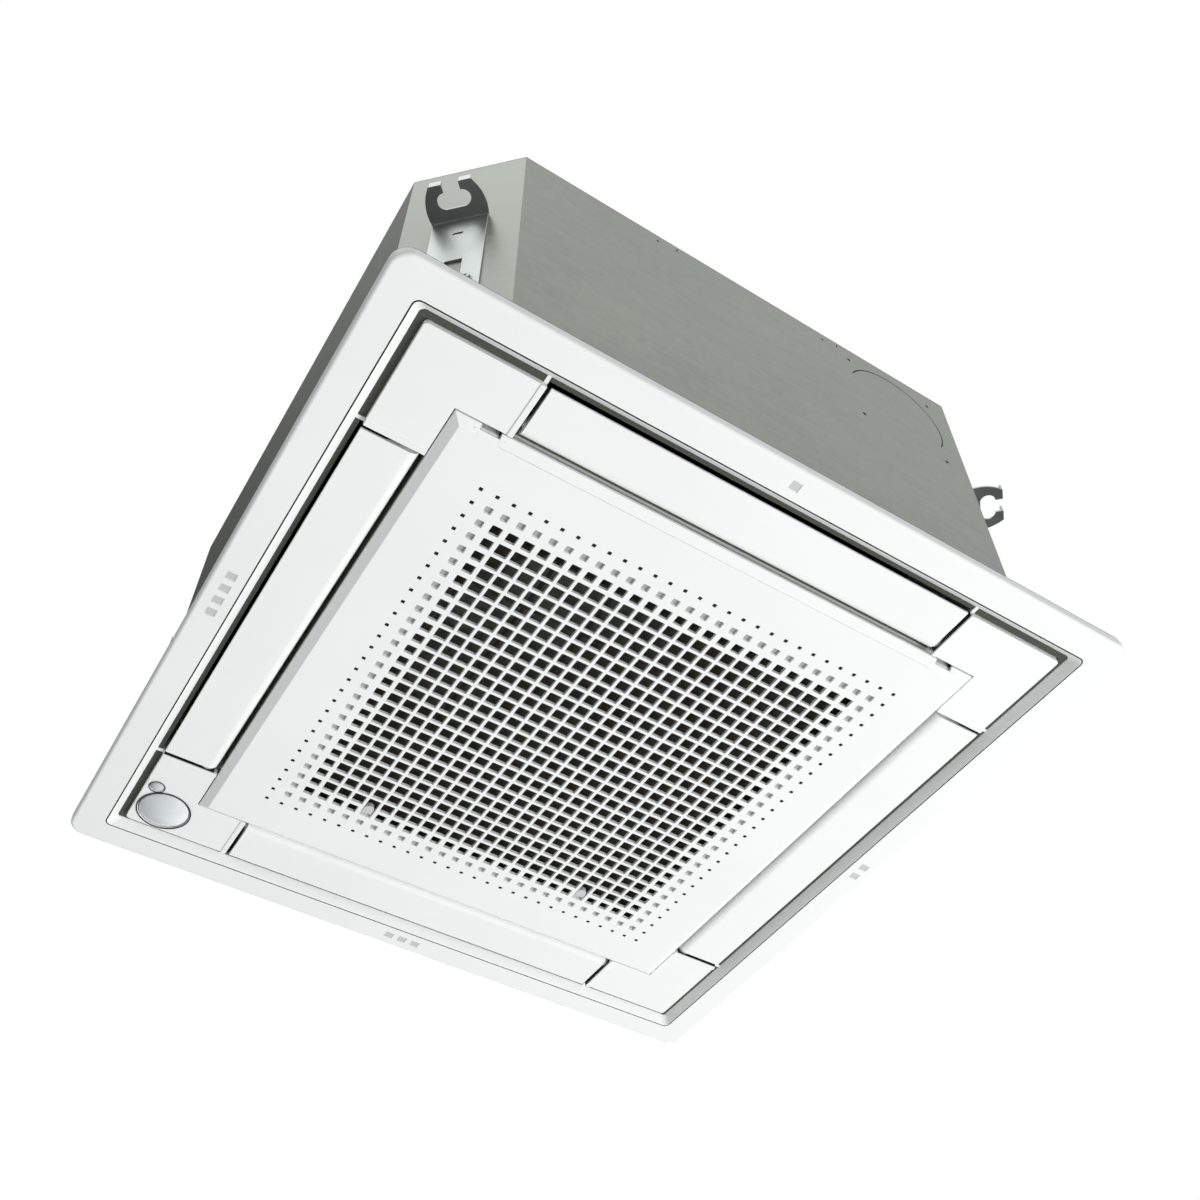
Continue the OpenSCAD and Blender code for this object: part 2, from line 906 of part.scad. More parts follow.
module fan_shaft() {
  low = hub_floor_z - shaft_thread_l;
  color([0.72, 0.73, 0.75]) {
    translate([0, 0, hub_floor_z])
      cylinder(r = shaft_r, h = motor_z - hub_floor_z + motor_shaft_in - shaft_end_gap);
    translate([0, 0, low])
      cylinder(r = shaft_thread_r, h = shaft_thread_l + over);
  }
}

module fan_nut() {
  color([0.75, 0.76, 0.76])
    translate([0, 0, hub_floor_z - nut_h])
      difference() {
        cylinder(r = nut_r, h = nut_h, $fn = 6);
        translate([0, 0, -over])
          cylinder(r = shaft_thread_r, h = nut_h + 2 * over);
      }
}

bell_z = pan_z - bell_plate_t;

module bell_mouth() {
  bell_top_z = fan_z + fan_gap;
  flare_z = bell_z + bell_flare;
  color([0.82, 0.83, 0.82]) {
    difference() {
      slab(bell_z, bell_plate_t)
        square(2 * (duct_wall_inner - bell_play), center = true);
      translate([0, 0, bell_z - over])
        cylinder(r = throat_r + bell_flare + bell_rim_w / 2, h = bell_plate_t + 2 * over);
    }
    rotate_extrude() {
      // Flat rim that laps into the plate
      translate([throat_r + bell_flare, bell_z])
        square([bell_rim_w, bell_plate_t]);
      difference() {
        translate([throat_r, bell_z])
          square([bell_flare, bell_flare]);
        translate([throat_r + bell_flare, flare_z])
          circle(bell_flare - bell_t);
        translate([throat_r + bell_flare, flare_z])
          mirror([0, 1])
            bell_outside();
      }
      translate([throat_r, flare_z - over])
        square([bell_t, bell_top_z - flare_z + over]);
    }
  }
}

// What lies outside the bell's quarter circle, towards the air
module bell_outside() {
  difference() {
    translate([-bell_flare - over, 0])
      square(bell_flare + 2 * over);
    circle(bell_flare);
  }
}

// HEAT EXCHANGER

// Straight stretch of the finned ring from a to b along Y, with its fin slots
module fin_pack(a, b) {
  n = floor((b - a) / fin_pitch);
  first = a + ((b - a) - n * fin_pitch) / 2;
  inner = coil_half - coil_d;
  slab(coil_z, coil_top_z - coil_z)
    polygon(concat(
      [[inner, a], [coil_half, a]],
      [for (i = [0:n - 1], p = [0:3]) let (y = first + i * fin_pitch)
        [coil_half - (p == 1 || p == 2 ? fin_slot_depth : 0),
          y + (p > 1 ? fin_slot_w : 0)]],
      [[coil_half, b], [inner, b]],
      [for (i = [n - 1:-1:0], p = [0:3]) let (y = first + i * fin_pitch)
        [inner + (p == 1 || p == 2 ? fin_slot_depth : 0),
          y + (p < 2 ? fin_slot_w : 0)]]));
}

module fin_corner() {
  s = coil_half - coil_corner_r;
  translate([s, s, coil_z])
    rotate_extrude(angle = 90)
      translate([coil_corner_r - coil_d, 0])
        square([coil_d, coil_top_z - coil_z]);
}

module coil_fins() {
  s = coil_half - coil_corner_r;
  color([0.72, 0.74, 0.76]) {
    fin_pack(-s, coil_end);
    mirror([1, -1, 0])
      fin_pack(-s, coil_end);
    for (a = [180, 270])
      rotate(a)
        fin_corner();
    rotate(90)
      fin_corner();
    rotate(180)
      fin_pack(-s, s);
    rotate(270)
      fin_pack(-s, s);
  }
}

tube_pitch = (coil_top_z - coil_z) / (tube_rows * 2);
tube_xs = [coil_half - coil_d * tube_row_share, coil_half - coil_d * (1 - tube_row_share)];

// Return bends at the end of the ring that faces +Y, and the header beside them
module return_bends() {
  for (i = [0:tube_rows - 1])
    translate([(tube_xs[0] + tube_xs[1]) / 2, coil_end + end_plate_t,
      coil_z + tube_pitch * (2 * i + 1)])
      rotate_extrude(angle = 180)
        translate([(tube_xs[0] - tube_xs[1]) / 2, 0])
          circle(tube_r);
}

module coil_tubes() {
  color([0.72, 0.45, 0.3]) {
    return_bends();
    mirror([1, -1, 0])
      return_bends();
  }
}

module end_plate() {
  translate([coil_half - coil_d / 2 - end_plate_w / 2, coil_end, coil_z])
    cube([end_plate_w, end_plate_t, coil_top_z - coil_z]);
}

module coil_end_plates() {
  color([0.7, 0.72, 0.72]) {
    end_plate();
    mirror([1, -1, 0])
      end_plate();
  }
}

// Header beside the coil's end, its feed tubes, and its pipe out through the +X side
module service_pipe(r, x, h) {
  z = casing_z + h;
  end_x = casing_half + pipe_out;
  bead_x = casing_half + flare_nut_gap + flare_nut_l + pipe_bead_gap;
  head_r = r + header_wall;
  low = coil_z + 2 * tube_pitch;
  difference() {
    union() {
      translate([x, pipe_y, low])
        cylinder(r = head_r, h = z + header_top - low);
      translate([x, pipe_y, z])
        rotate([0, 90, 0])
          cylinder(r = r, h = end_x - x);
      translate([bead_x, pipe_y, z])
        rotate([0, 90, 0])
          cylinder(r = r + pipe_bead_rise, h = pipe_bead_w);
      for (i = [1:feed_tubes])
        translate([x, coil_end + end_plate_t, coil_z + 4 * i * tube_pitch])
          rotate([-90, 0, 0])
            cylinder(r = feed_r, h = pipe_y - coil_end - end_plate_t);
    }
    translate([x + head_r, pipe_y, z])
      rotate([0, 90, 0])
        cylinder(r = r * pipe_bore_share, h = end_x);
  }
}

gas_x = coil_half - coil_d * tube_row_share;
liquid_x = coil_half - coil_d;

module gas_pipe() {
  color([0.74, 0.46, 0.3])
    service_pipe(gas_pipe_r, gas_x, gas_pipe_h);
}

module liquid_pipe() {
  color([0.74, 0.46, 0.3])
    service_pipe(liquid_pipe_r, liquid_x, liquid_pipe_h);
}

module flare_nut(r, h) {
  color([0.8, 0.66, 0.35])
    translate([casing_half + flare_nut_gap, pipe_y, casing_z + h])
      rotate([0, 90, 0])
        difference() {
          cylinder(r = r + flare_nut_wall, h = flare_nut_l, $fn = 6);
          translate([0, 0, -over])
            cylinder(r = r + pin_gap, h = flare_nut_l + 2 * over);
        }
}

module pipe_cover() {
  mid_z = casing_z + (gas_pipe_h + liquid_pipe_h) / 2;
  color([0.62, 0.65, 0.62])
    difference() {
      translate([casing_half, pipe_y - cover_plate_w / 2, mid_z - cover_plate_h / 2])
        cube([sheet_t, cover_plate_w, cover_plate_h]);
      for (p = [[gas_pipe_r, gas_pipe_h], [liquid_pipe_r, liquid_pipe_h]])
        translate([casing_half - over, pipe_y, casing_z + p[1]])
          rotate([0, 90, 0])
            cylinder(r = p[0] + pin_gap, h = sheet_t + 2 * over);
    }
}

// DRAIN

module pan_plan() {
  difference() {
    casing_octagon(sheet_t + pan_play / 2);
    for (k = [1:4])
      on_side(k)
        translate([coil_half + pan_rim_w, -duct_end - pan_play])
          square([casing_half, 2 * (duct_end + pan_play)]);
    circle(throat_r + bell_flare + pan_play);
  }
}

module drain_pan() {
  trough_out = coil_half + pan_play;
  trough_in = coil_half - coil_d - pan_lip_w;
  color([0.88, 0.88, 0.86])
    difference() {
      slab(pan_z, pan_h)
        pan_plan();
      slab(coil_z, pan_h)
        difference() {
          rounded_square(trough_out, coil_corner_r);
          rounded_square(trough_in, coil_corner_r / 2);
        }
      // Sump in the corner where the pump stands
      slab(coil_z, pan_h)
        translate([coil_end, coil_end])
          square(sump_out - coil_end);
      for (k = [1:4])
        on_chamfer(k)
          bracket_screw_cuts(bracket_screw_r + pan_play);
      for (k = [1:4])
        on_side(k)
          translate([panel_screw_at, panel_screw_at, pan_z - over])
            cylinder(r = panel_screw_head_r, h = panel_screw_l + over);
    }
}

module drain_pump() {
  foot_z = pump_z - pump_foot_h;
  color([0.9, 0.9, 0.88])
    translate([pump_x, pump_y, 0])
      difference() {
        union() {
          translate([0, 0, pump_z])
            cylinder(r = pump_r, h = pump_h);
          translate([0, 0, foot_z])
            cylinder(r = pump_foot_r, h = pump_foot_h + over);
          // Three feet down to the sump's floor
          for (a = [0:120:240])
            rotate(a)
              translate([pump_foot_r - pump_leg_r - pump_leg_inset, 0, coil_z])
                cylinder(r = pump_leg_r, h = foot_z - coil_z + over);
          // Outlet towards the casing side
          translate([0, 0, pump_z + pump_h - drain_hose_r])
            rotate([-90, 0, 0])
              cylinder(r = drain_arm_r - drain_wall, h = pump_r + drain_hose_r);
        }
        translate([0, 0, foot_z - over])
          cylinder(r = impeller_r + impeller_gap, h = impeller_h + over + 2 * touch);
        translate([0, 0, foot_z])
          cylinder(r = impeller_shaft_r + pin_gap, h = pump_foot_h + pump_h / 2);
      }
}

module pump_impeller() {
  foot_z = pump_z - pump_foot_h;
  color([0.25, 0.45, 0.7])
    translate([pump_x, pump_y, foot_z + touch]) {
      cylinder(r = impeller_shaft_r, h = pump_foot_h + pump_h / 2 - 2 * touch);
      cylinder(r = impeller_hub_r, h = impeller_h - touch);
      for (a = [0:90:270])
        rotate(a)
          translate([0, -impeller_vane_t / 2, 0])
            cube([impeller_r, impeller_vane_t, impeller_h - touch]);
    }
}

module float_switch() {
  color([0.92, 0.92, 0.9])
    translate([float_x, float_y, coil_z]) {
      cylinder(r = float_stem_r, h = float_stem_h);
      cylinder(r = float_cap_r, h = float_cap_h);
      translate([0, 0, float_stem_h])
        cylinder(r = float_cap_r, h = float_cap_h);
    }
}

module float_ring() {
  color([0.95, 0.95, 0.95])
    translate([float_x, float_y, coil_z + float_cap_h + touch])
      difference() {
        cylinder(r = float_ring_r, h = float_ring_h);
        translate([0, 0, -over])
          cylinder(r = float_stem_r + touch, h = float_ring_h + 2 * over);
      }
}

// Hose from the pump's outlet up to the drain socket
module drain_hose() {
  y0 = pump_y + pump_r + drain_hose_r;
  z0 = pump_z + pump_h - drain_hose_r;
  z1 = casing_z + drain_h;
  y1 = casing_half - sheet_t - liner_t;
  r_in = drain_hose_r - drain_wall;
  color([0.55, 0.57, 0.6])
    translate([pump_x, y0, 0])
      difference() {
        union() {
          translate([0, 0, z0 - drain_hose_r])
            cylinder(r = drain_hose_r, h = z1 - z0 + 2 * drain_hose_r);
          translate([0, 0, z1])
            rotate([-90, 0, 0])
              cylinder(r = drain_arm_r, h = y1 - y0);
        }
        translate([0, 0, z0 - r_in])
          cylinder(r = r_in, h = z1 - z0 + 2 * r_in);
        translate([0, 0, z1])
          rotate([-90, 0, 0])
            cylinder(r = drain_arm_r - drain_wall, h = y1 - y0 + over);
        translate([0, -drain_hose_r - over, z0])
          rotate([-90, 0, 0])
            cylinder(r = drain_arm_r - drain_wall, h = drain_hose_r + over);
      }
}

module drain_socket() {
  y1 = casing_half - sheet_t - liner_t;
  color([0.9, 0.9, 0.9])
    translate([pump_x, y1, casing_z + drain_h])
      rotate([-90, 0, 0])
        difference() {
          union() {
            cylinder(r = drain_r, h = sheet_t + liner_t + pipe_out);
            translate([0, 0, sheet_t + liner_t])
              cylinder(r = drain_r + drain_socket_flange_w, h = drain_socket_flange_t);
          }
          translate([0, 0, drain_wall])
            cylinder(r = drain_r - drain_wall, h = casing_half);
          translate([0, 0, -over])
            cylinder(r = drain_arm_r - drain_wall, h = casing_half);
        }
}

// CONTROLS

module control_box() {
  box_z = bell_z - box_h;
  color([0.72, 0.74, 0.73])
    difference() {
      translate([box_x - box_w / 2, -box_l / 2, box_z])
        cube([box_w, box_l, box_h]);
      translate([box_x - box_w / 2 + box_t, -box_l / 2 + box_t, box_z - over])
        cube([box_w - 2 * box_t, box_l - 2 * box_t, box_h - box_t + over]);
    }
}

module control_lid() {
  box_z = bell_z - box_h;
  color([0.66, 0.68, 0.67])
    translate([box_x - box_w / 2, -box_l / 2, box_z - box_t])
      cube([box_w, box_l, box_t]);
}

module circuit_board() {
  board_z = bell_z - box_t - board_gap - board_t;
  color([0.1, 0.4, 0.22]) {
    translate([box_x - box_w / 2 + board_edge, -box_l / 2 + board_edge, board_z])
      cube([box_w - 2 * board_edge, box_l - 2 * board_edge, board_t]);
    for (i = [0:chips - 1])
      translate([box_x - chip_w / 2,
        (i + 0.5 - chips / 2) * box_l / (chips + 1) - chip_w / 2, board_z - chip_h])
        cube([chip_w, chip_w, chip_h]);
    for (i = [-1, 1], j = [-1, 1])
      translate([box_x + i * (box_w / 2 - 2 * board_edge),
        j * (box_l / 2 - 2 * board_edge), board_z + board_t])
        cylinder(r = board_edge / 2, h = board_gap);
  }
}

module wire_grommet() {
  lip_r = grommet_r + grommet_lip_w;
  color([0.1, 0.1, 0.1])
    translate([grommet_x, casing_half + grommet_lip_t, casing_z + grommet_z])
      rotate([90, 0, 0])
        difference() {
          union() {
            cylinder(r = lip_r, h = grommet_lip_t);
            cylinder(r = grommet_r, h = 2 * grommet_lip_t + sheet_t);
            translate([0, 0, grommet_lip_t + sheet_t])
              cylinder(r = lip_r, h = grommet_lip_t);
          }
          translate([0, 0, -over])
            cylinder(r = grommet_hole_r, h = 2 * grommet_lip_t + sheet_t + 2 * over);
        }
}

// PANEL

module panel_flange() {
  color([0.95, 0.95, 0.95])
    difference() {
      union() {
        slab(up(0), flange_t)
          difference() {
            rounded_square(panel_w / 2, panel_corner_r);
            rounded_square(recess_half, recess_corner_r);
          }
        slab(up(flange_t / 2), flange_edge_h - flange_t / 2)
          difference() {
            rounded_square(panel_w / 2, panel_corner_r);
            rounded_square(panel_w / 2 - flange_lip_w, panel_corner_r - flange_lip_w);
          }
      }
      outlet_marks();
    }
}

// One to four small squares on the flange tell the outlets apart
module outlet_marks() {
  for (k = [1:4])
    on_side(k)
      for (i = [1:k])
        translate([recess_half + mark_inset, (i - (k + 1) / 2) * mark_pitch, up(0)])
          cube([mark_side, mark_side, 2 * mark_h], center = true);
}

// Pyramid stump that opens downwards: half width a at height za, b at height zb
module square_funnel(a, za, b, zb, r) {
  translate([0, 0, za])
    linear_extrude(zb - za, scale = b / a)
      rounded_square(a, r, $fn = blend_fn);
}

module corner_rooms(z, h) {
  slab(z, h)
    difference() {
      for (k = [1:4])
        on_side(k)
          translate([room_start, room_start])
            square(recess_top_half - room_start);
      square(2 * duct_wall_outer, center = true);
    }
}

module duct_space(z, h) {
  for (k = [1:4])
    on_side(k)
      translate([duct_wall_outer, -duct_end, z])
        cube([recess_top_half - duct_wall_outer, 2 * duct_end, h]);
}

module panel_frame() {
  skirt_half = recess_top_half + frame_wall;
  top = panel_h + over;
  color([0.96, 0.96, 0.96]) {
    difference() {
      union() {
        slab(up(0), flange_t)
          rounded_square(recess_half - seam_w, recess_corner_r - seam_w);
        slab(up(flange_t), ledge_t)
          rounded_square(recess_half + ledge_w, recess_corner_r);
        slab(up(flange_t), panel_h - flange_t)
          rounded_square(skirt_half, recess_corner_r - seam_w);
      }
      square_funnel(recess_half - seam_w - recess_edge_w, up(0), recess_top_half, up(recess_depth),
        recess_corner_r);
      slab(up(-over), 2 * over)
        rounded_square(recess_half - seam_w - recess_edge_w - over, recess_corner_r);
      // Space that the grille swings through
      slab(up(recess_depth - touch), duct_wall_low - recess_depth + touch)
        square(2 * (grille_half + cover_gap), center = true);
      slab(up(-over), panel_h + 2 * over)
        square(2 * duct_wall_inner, center = true);
      duct_space(up(recess_depth - touch), top);
      corner_rooms(up(recess_depth - touch), panel_h - deck_t - recess_depth + touch);
      flap_bush_holes();
      for (k = [1:4])
        on_side(k)
          translate([panel_screw_at, panel_screw_at, up(panel_h - deck_t) - over])
            cylinder(r = panel_screw_r + screw_play, h = deck_t + 2 * over);
    }
    shelves();
    hinge_fingers();
  }
}

module shelves() {
  for (k = [1:4])
    on_side(k)
      slab(up(shelf_z), shelf_t)
        difference() {
          translate([room_start - over, room_start - over])
            square(recess_top_half - room_start + 2 * over);
          translate([room_start - 2 * over, room_start - 2 * over])
            square(recess_top_half - room_start + 2 * over - shelf_w);
        }
}

module flap_bush_holes() {
  for (k = [1:4])
    on_side(k)
      for (i = [-1, 1])
        translate([flap_axis_x, i * (duct_end + end_wall_t / 2), flap_axis_z])
          rotate([90, 0, 0])
            cylinder(r = bush_r, h = end_wall_t + 2 * over, center = true);
}

// Two fingers on the -Y side of the frame carry the grille's hinge
module hinge_fingers() {
  for (i = [-1, 1])
    difference() {
      union() {
        translate([i * hinge_x - hinge_w / 2, grille_axis_y, grille_axis_z])
          rotate([0, 90, 0])
            cylinder(r = hinge_r, h = hinge_w);
        translate([i * hinge_x - hinge_w / 2, grille_axis_y - hinge_r, grille_axis_z])
          cube([hinge_w, 2 * hinge_r, up(duct_wall_low) - grille_axis_z + over]);
        translate([i * hinge_x - hinge_w / 2, -duct_wall_outer, up(duct_wall_low)])
          cube([hinge_w, duct_wall_outer + grille_axis_y + hinge_r, hinge_root_h]);
      }
      translate([i * hinge_x - hinge_w / 2 - over, grille_axis_y, grille_axis_z])
        rotate([0, 90, 0])
          cylinder(r = hinge_pin_r + pin_gap, h = hinge_w + 2 * over);
    }
}

module ceiling_seal() {
  color([0.2, 0.2, 0.2])
    slab(up(flange_t), flange_edge_h - flange_t)
      difference() {
        rounded_square(panel_w / 2 - flange_lip_w, panel_corner_r - flange_lip_w);
        rounded_square(panel_w / 2 - flange_lip_w - seal_w, panel_corner_r - flange_lip_w);
      }
}

module duct_seals() {
  color([0.18, 0.18, 0.18]) {
    slab(up(panel_h), seal_t)
      difference() {
        rounded_square(recess_top_half + frame_wall - touch, recess_corner_r);
        square(2 * (recess_top_half + touch), center = true);
      }
    slab(up(panel_h), seal_t + sheet_t)
      difference() {
        square(2 * duct_wall_outer, center = true);
        square(2 * duct_wall_inner, center = true);
      }
  }
}

module panel_screws() {
  color([0.75, 0.76, 0.76])
    for (k = [1:4])
      on_side(k)
        translate([panel_screw_at, panel_screw_at, up(panel_h - deck_t)]) {
          cylinder(r = panel_screw_r, h = panel_screw_l);
          translate([0, 0, -panel_screw_head_h])
            cylinder(r = panel_screw_head_r, h = panel_screw_head_h, $fn = 6);
        }
}

// Corner cover in plan: a square less the grille's corner
module cover_plan(inset) {
  a = duct_end + inset;
  b = flap_outer - inset;
  g = grille_half + cover_gap + inset;
  difference() {
    polygon([[g, a], [b, a], [b, b], [a, b], [a, g], [g, g]]);
    translate([b - cover_corner_r, b - cover_corner_r])
      difference() {
        square(2 * cover_corner_r);
        circle(cover_corner_r);
      }
  }
}

module corner_cover(k) {
  has_sensor = k == 3;
  color([0.97, 0.97, 0.97])
    on_side(k)
      difference() {
        union() {
          slab(up(flap_sink), cover_t)
            cover_plan(0);
          // Raised strips beside the flap ends
          slab(up(flap_sink - cover_lip_h), cover_lip_h + over)
            intersection() {
              cover_plan(0);
              union() {
                translate([0, duct_end])
                  square([casing_half, cover_lip_w]);
                translate([duct_end, 0])
                  square([cover_lip_w, casing_half]);
              }
            }
          // Upstand that seats under the frame's shelf
          slab(up(flap_sink), shelf_z - flap_sink)
            intersection() {
              cover_plan(0);
              difference() {
                translate([room_start, room_start])
                  square(casing_half);
                translate([0, 0])
                  square(flap_outer - cover_rim_w);
              }
            }
        }
        if (has_sensor) {
          slab(up(0), shelf_z)
            translate(sensor_at)
              circle(sensor_r + sensor_gap);
          slab(up(0), shelf_z)
            translate(spot_at)
              circle(spot_r + touch);
        }
      }
}

// Cap of a ball with the given rim radius and height, pointing down
module dome(r, h) {
  ball_r = (r * r + h * h) / (2 * h);
  intersection() {
    translate([0, 0, ball_r - h])
      sphere(ball_r, $fn = 96);
    translate([0, 0, -h - over])
      cylinder(r = r, h = h + over);
  }
}

module sensor_dome() {
  color([0.8, 0.82, 0.82])
    on_side(3)
      translate([sensor_at[0], sensor_at[1], up(flap_sink)]) {
        dome(sensor_r, sensor_dome_h);
        cylinder(r = sensor_body_r, h = sensor_body_h);
        // Flange that rests on the cover's inner face
        translate([0, 0, cover_t])
          cylinder(r = sensor_r + sensor_gap + sensor_seat, h = cover_t / 2);
      }
}

module sensor_spot() {
  color([0.9, 0.9, 0.9])
    on_side(3)
      translate([spot_at[0], spot_at[1], up(flap_sink)]) {
        dome(spot_r, spot_dome_h);
        cylinder(r = spot_r, h = cover_t);
        translate([0, 0, cover_t])
          cylinder(r = spot_r + touch + sensor_seat, h = cover_t / 2);
      }
}

// FLAPS

module flap(k) {
  skin_z = up(flap_sink);
  half = flap_l / 2;
  color([0.97, 0.97, 0.97])
    on_side(k) {
      // Skin with its edge rolled round the hinge axis
      translate([0, half, 0])
        rotate([90, 0, 0])
          linear_extrude(flap_l) {
            translate([flap_axis_x, skin_z])
              square([flap_outer - flap_axis_x, flap_t]);
            translate([flap_axis_x, flap_axis_z])
              intersection() {
                difference() {
                  circle(flap_roll_r);
                  circle(flap_roll_r - flap_t);
                }
                translate([-flap_roll_r - over, -flap_roll_r - over])
                  square([flap_roll_r + over, flap_roll_r + over]);
              }
          }
      for (i = [-1, 1])
        flap_end(i, half);
    }
}

// Arm and pin at one end; the +Y pin is longer and is driven by the motor
module flap_end(i, half) {
  tail = i > 0 ? flap_drive_tail : flap_pin_tail;
  pin_l = flap_arm_t + flap_end_gap + end_wall_t + tail;
  translate([0, i * half, 0])
    mirror([0, i > 0 ? 1 : 0, 0]) {
      translate([0, flap_arm_t, 0])
        rotate([90, 0, 0])
          linear_extrude(flap_arm_t) {
            translate([flap_axis_x, flap_axis_z])
              circle(flap_arm_r);
            polygon([[flap_axis_x - flap_arm_r, up(flap_sink + flap_t)],
              [flap_axis_x + flap_arm_foot, up(flap_sink + flap_t)],
              [flap_axis_x + flap_arm_r, flap_axis_z],
              [flap_axis_x - flap_arm_r, flap_axis_z]]);
            translate([flap_axis_x, up(flap_sink + flap_t / 2)])
              square([flap_arm_foot, flap_t / 2]);
          }
      translate([flap_axis_x, flap_arm_t, flap_axis_z])
        rotate([90, 0, 0])
          cylinder(r = flap_pin_r, h = pin_l);
    }
}

module flap_bushes() {
  color([0.85, 0.85, 0.82])
    for (k = [1:4], i = [-1, 1])
      on_side(k)
        translate([flap_axis_x, i * duct_end, flap_axis_z])
          rotate([-90 * i, 0, 0])
            difference() {
              union() {
                cylinder(r = bush_r, h = end_wall_t);
                translate([0, 0, -bush_flange_t])
                  cylinder(r = bush_flange_r, h = bush_flange_t);
              }
              translate([0, 0, -bush_flange_t - over])
                cylinder(r = flap_pin_r + pin_gap,
                  h = end_wall_t + 2 * bush_flange_t + 2 * over);
            }
}

module flap_motor(k) {
  color([0.8, 0.82, 0.83])
    on_side(k)
      translate([flap_axis_x, room_start, flap_axis_z])
        rotate([-90, 0, 0])
          difference() {
            union() {
              translate([0, -flap_motor_offset, 0])
                cylinder(r = flap_motor_r, h = flap_motor_l);
              translate([0, -flap_motor_offset, 0])
                rotate(45)
                  translate([-flap_motor_ear, -flap_motor_ear_w / 2, 0])
                    cube([2 * flap_motor_ear, flap_motor_ear_w, flap_motor_ear_t]);
            }
            translate([0, 0, -over])
              cylinder(r = flap_pin_r + pin_gap, h = flap_drive_tail + over + touch);
          }
}

// GRILLE

function hole_ring(i) = min(i, hole_rows - 1 - i);
function hole_side(ring) = ring == 0 ? hole_dot
  : ring == 1 ? hole_dimple
  : ring == 2 ? hole_medium
  : hole_large;
function hole_at(i) = (i - hole_mid_index) * hole_pitch;

blind_cells = [for (i = [0:hole_rows - 1], j = [0:hole_rows - 1])
  if (min(hole_ring(i), hole_ring(j)) < 2) [i, j]];
open_half = hole_at(hole_rows - 2.5);

module cell(i, j) {
  translate([hole_at(i), hole_at(j)])
    square(hole_side(min(hole_ring(i), hole_ring(j))), center = true);
}

// Flat part with the open holes
module grille_field() {
  top_y = hole_at(hole_rows - 3) + hole_medium / 2;
  low_y = hole_at(hole_rows - 4) - hole_large / 2;
  slab(up(-grille_drop), grille_t)
    difference() {
      square(2 * open_half, center = true);
      for (i = [2:hole_rows - 3], j = [2:hole_rows - 3])
        if (abs(abs(hole_at(i)) - latch_x) > hole_pitch / 2 || j < hole_rows - 4)
          cell(i, j);
      for (i = [-1, 1])
        translate([i * latch_x - hole_large / 2, low_y])
          square([hole_large, top_y - low_y]);
    }
}

// Border with the blind holes
module grille_border() {
  difference() {
    slab(up(-grille_drop), grille_t)
      difference() {
        square(2 * grille_face_half, center = true);
        square(2 * open_half, center = true);
      }
    slab(up(-grille_drop - over), over + dimple_depth)
      for (c = blind_cells)
        cell(c[0], c[1]);
    hinge_slits();
  }
}

// Sloping rim round the flat face
module grille_rim() {
  slope_h = grille_drop + grille_rim_rise;
  difference() {
    union() {
      square_funnel_up(grille_face_half, up(-grille_drop), grille_half, up(grille_rim_rise));
      slab(up(grille_rim_rise), grille_t)
        square(2 * grille_half, center = true);
    }
    square_funnel_up(grille_face_half - over,
      up(-grille_drop + grille_t - over * slope_h / (grille_half - grille_face_half)),
      grille_half, up(grille_rim_rise + grille_t));
    hinge_slits();
    slab(up(-grille_drop - over), slope_h + grille_t + 2 * over)
      square(2 * (grille_face_half - 2 * over), center = true);
    slab(up(grille_rim_rise + grille_t), over)
      square(2 * grille_half + over, center = true);
    slab(up(grille_t - grille_drop), grille_wall_h)
      latch_ways();
  }
}

module square_funnel_up(a, za, b, zb) {
  translate([0, 0, za])
    linear_extrude(zb - za, scale = b / a)
      square(2 * a, center = true);
}

module intake_grille() {
  color([0.97, 0.97, 0.97]) {
    grille_field();
    grille_border();
    grille_rim();
    grille_walls();
    hinge_arms();
  }
}

// Stiffening wall and the filter's seat, with gaps for the latch bars
module grille_walls() {
  slab(up(grille_t - grille_drop), grille_wall_h)
    difference() {
      square(2 * (grille_wall_half + grille_wall_w), center = true);
      square(2 * grille_wall_half, center = true);
      latch_ways();
    }
  slab(up(grille_t - grille_drop), filter_seat_h)
    difference() {
      square(2 * (filter_seat_half + filter_seat_w), center = true);
      square(2 * filter_seat_half, center = true);
      latch_ways();
    }
}

module latch_ways() {
  way_w = latch_w + 2 * touch;
  for (i = [-1, 1])
    translate([i * latch_x - way_w / 2, 0])
      square([way_w, grille_half]);
}

// Two arms beside each finger of the frame hold the hinge pin
module hinge_arms() {
  for (i = [-1, 1], j = [-1, 1])
    translate([i * hinge_x + j * (hinge_w / 2 + hinge_play + hinge_arm_w / 2) - hinge_arm_w / 2,
      grille_axis_y, 0])
      difference() {
        union() {
          translate([0, 0, grille_axis_z])
            rotate([0, 90, 0])
              cylinder(r = hinge_r, h = hinge_arm_w);
          translate([0, -hinge_r, up(grille_t - grille_drop) - over])
            cube([hinge_arm_w, 2 * hinge_r,
              grille_axis_z - up(grille_t - grille_drop) + over]);
        }
        translate([-over, 0, grille_axis_z])
          rotate([0, 90, 0])
            cylinder(r = hinge_pin_r, h = hinge_arm_w + 2 * over);
      }
}

module hinge_slits() {
  for (i = [-1, 1])
    translate([i * hinge_x - hinge_w / 2 - hinge_play, -grille_half - over, up(-grille_drop - over)])
      cube([hinge_w + 2 * hinge_play, grille_half + over + grille_axis_y + hinge_slit_y,
        grille_drop + grille_rim_rise + grille_t + 2 * over]);
}

module grille_pins() {
  pin_l = hinge_w + 2 * (hinge_play + hinge_arm_w);
  color([0.75, 0.76, 0.77])
    for (i = [-1, 1])
      translate([i * hinge_x - pin_l / 2, grille_axis_y, grille_axis_z])
        rotate([0, 90, 0])
          cylinder(r = hinge_pin_r, h = pin_l);
}

filter_z = up(grille_t - grille_drop + filter_seat_h);

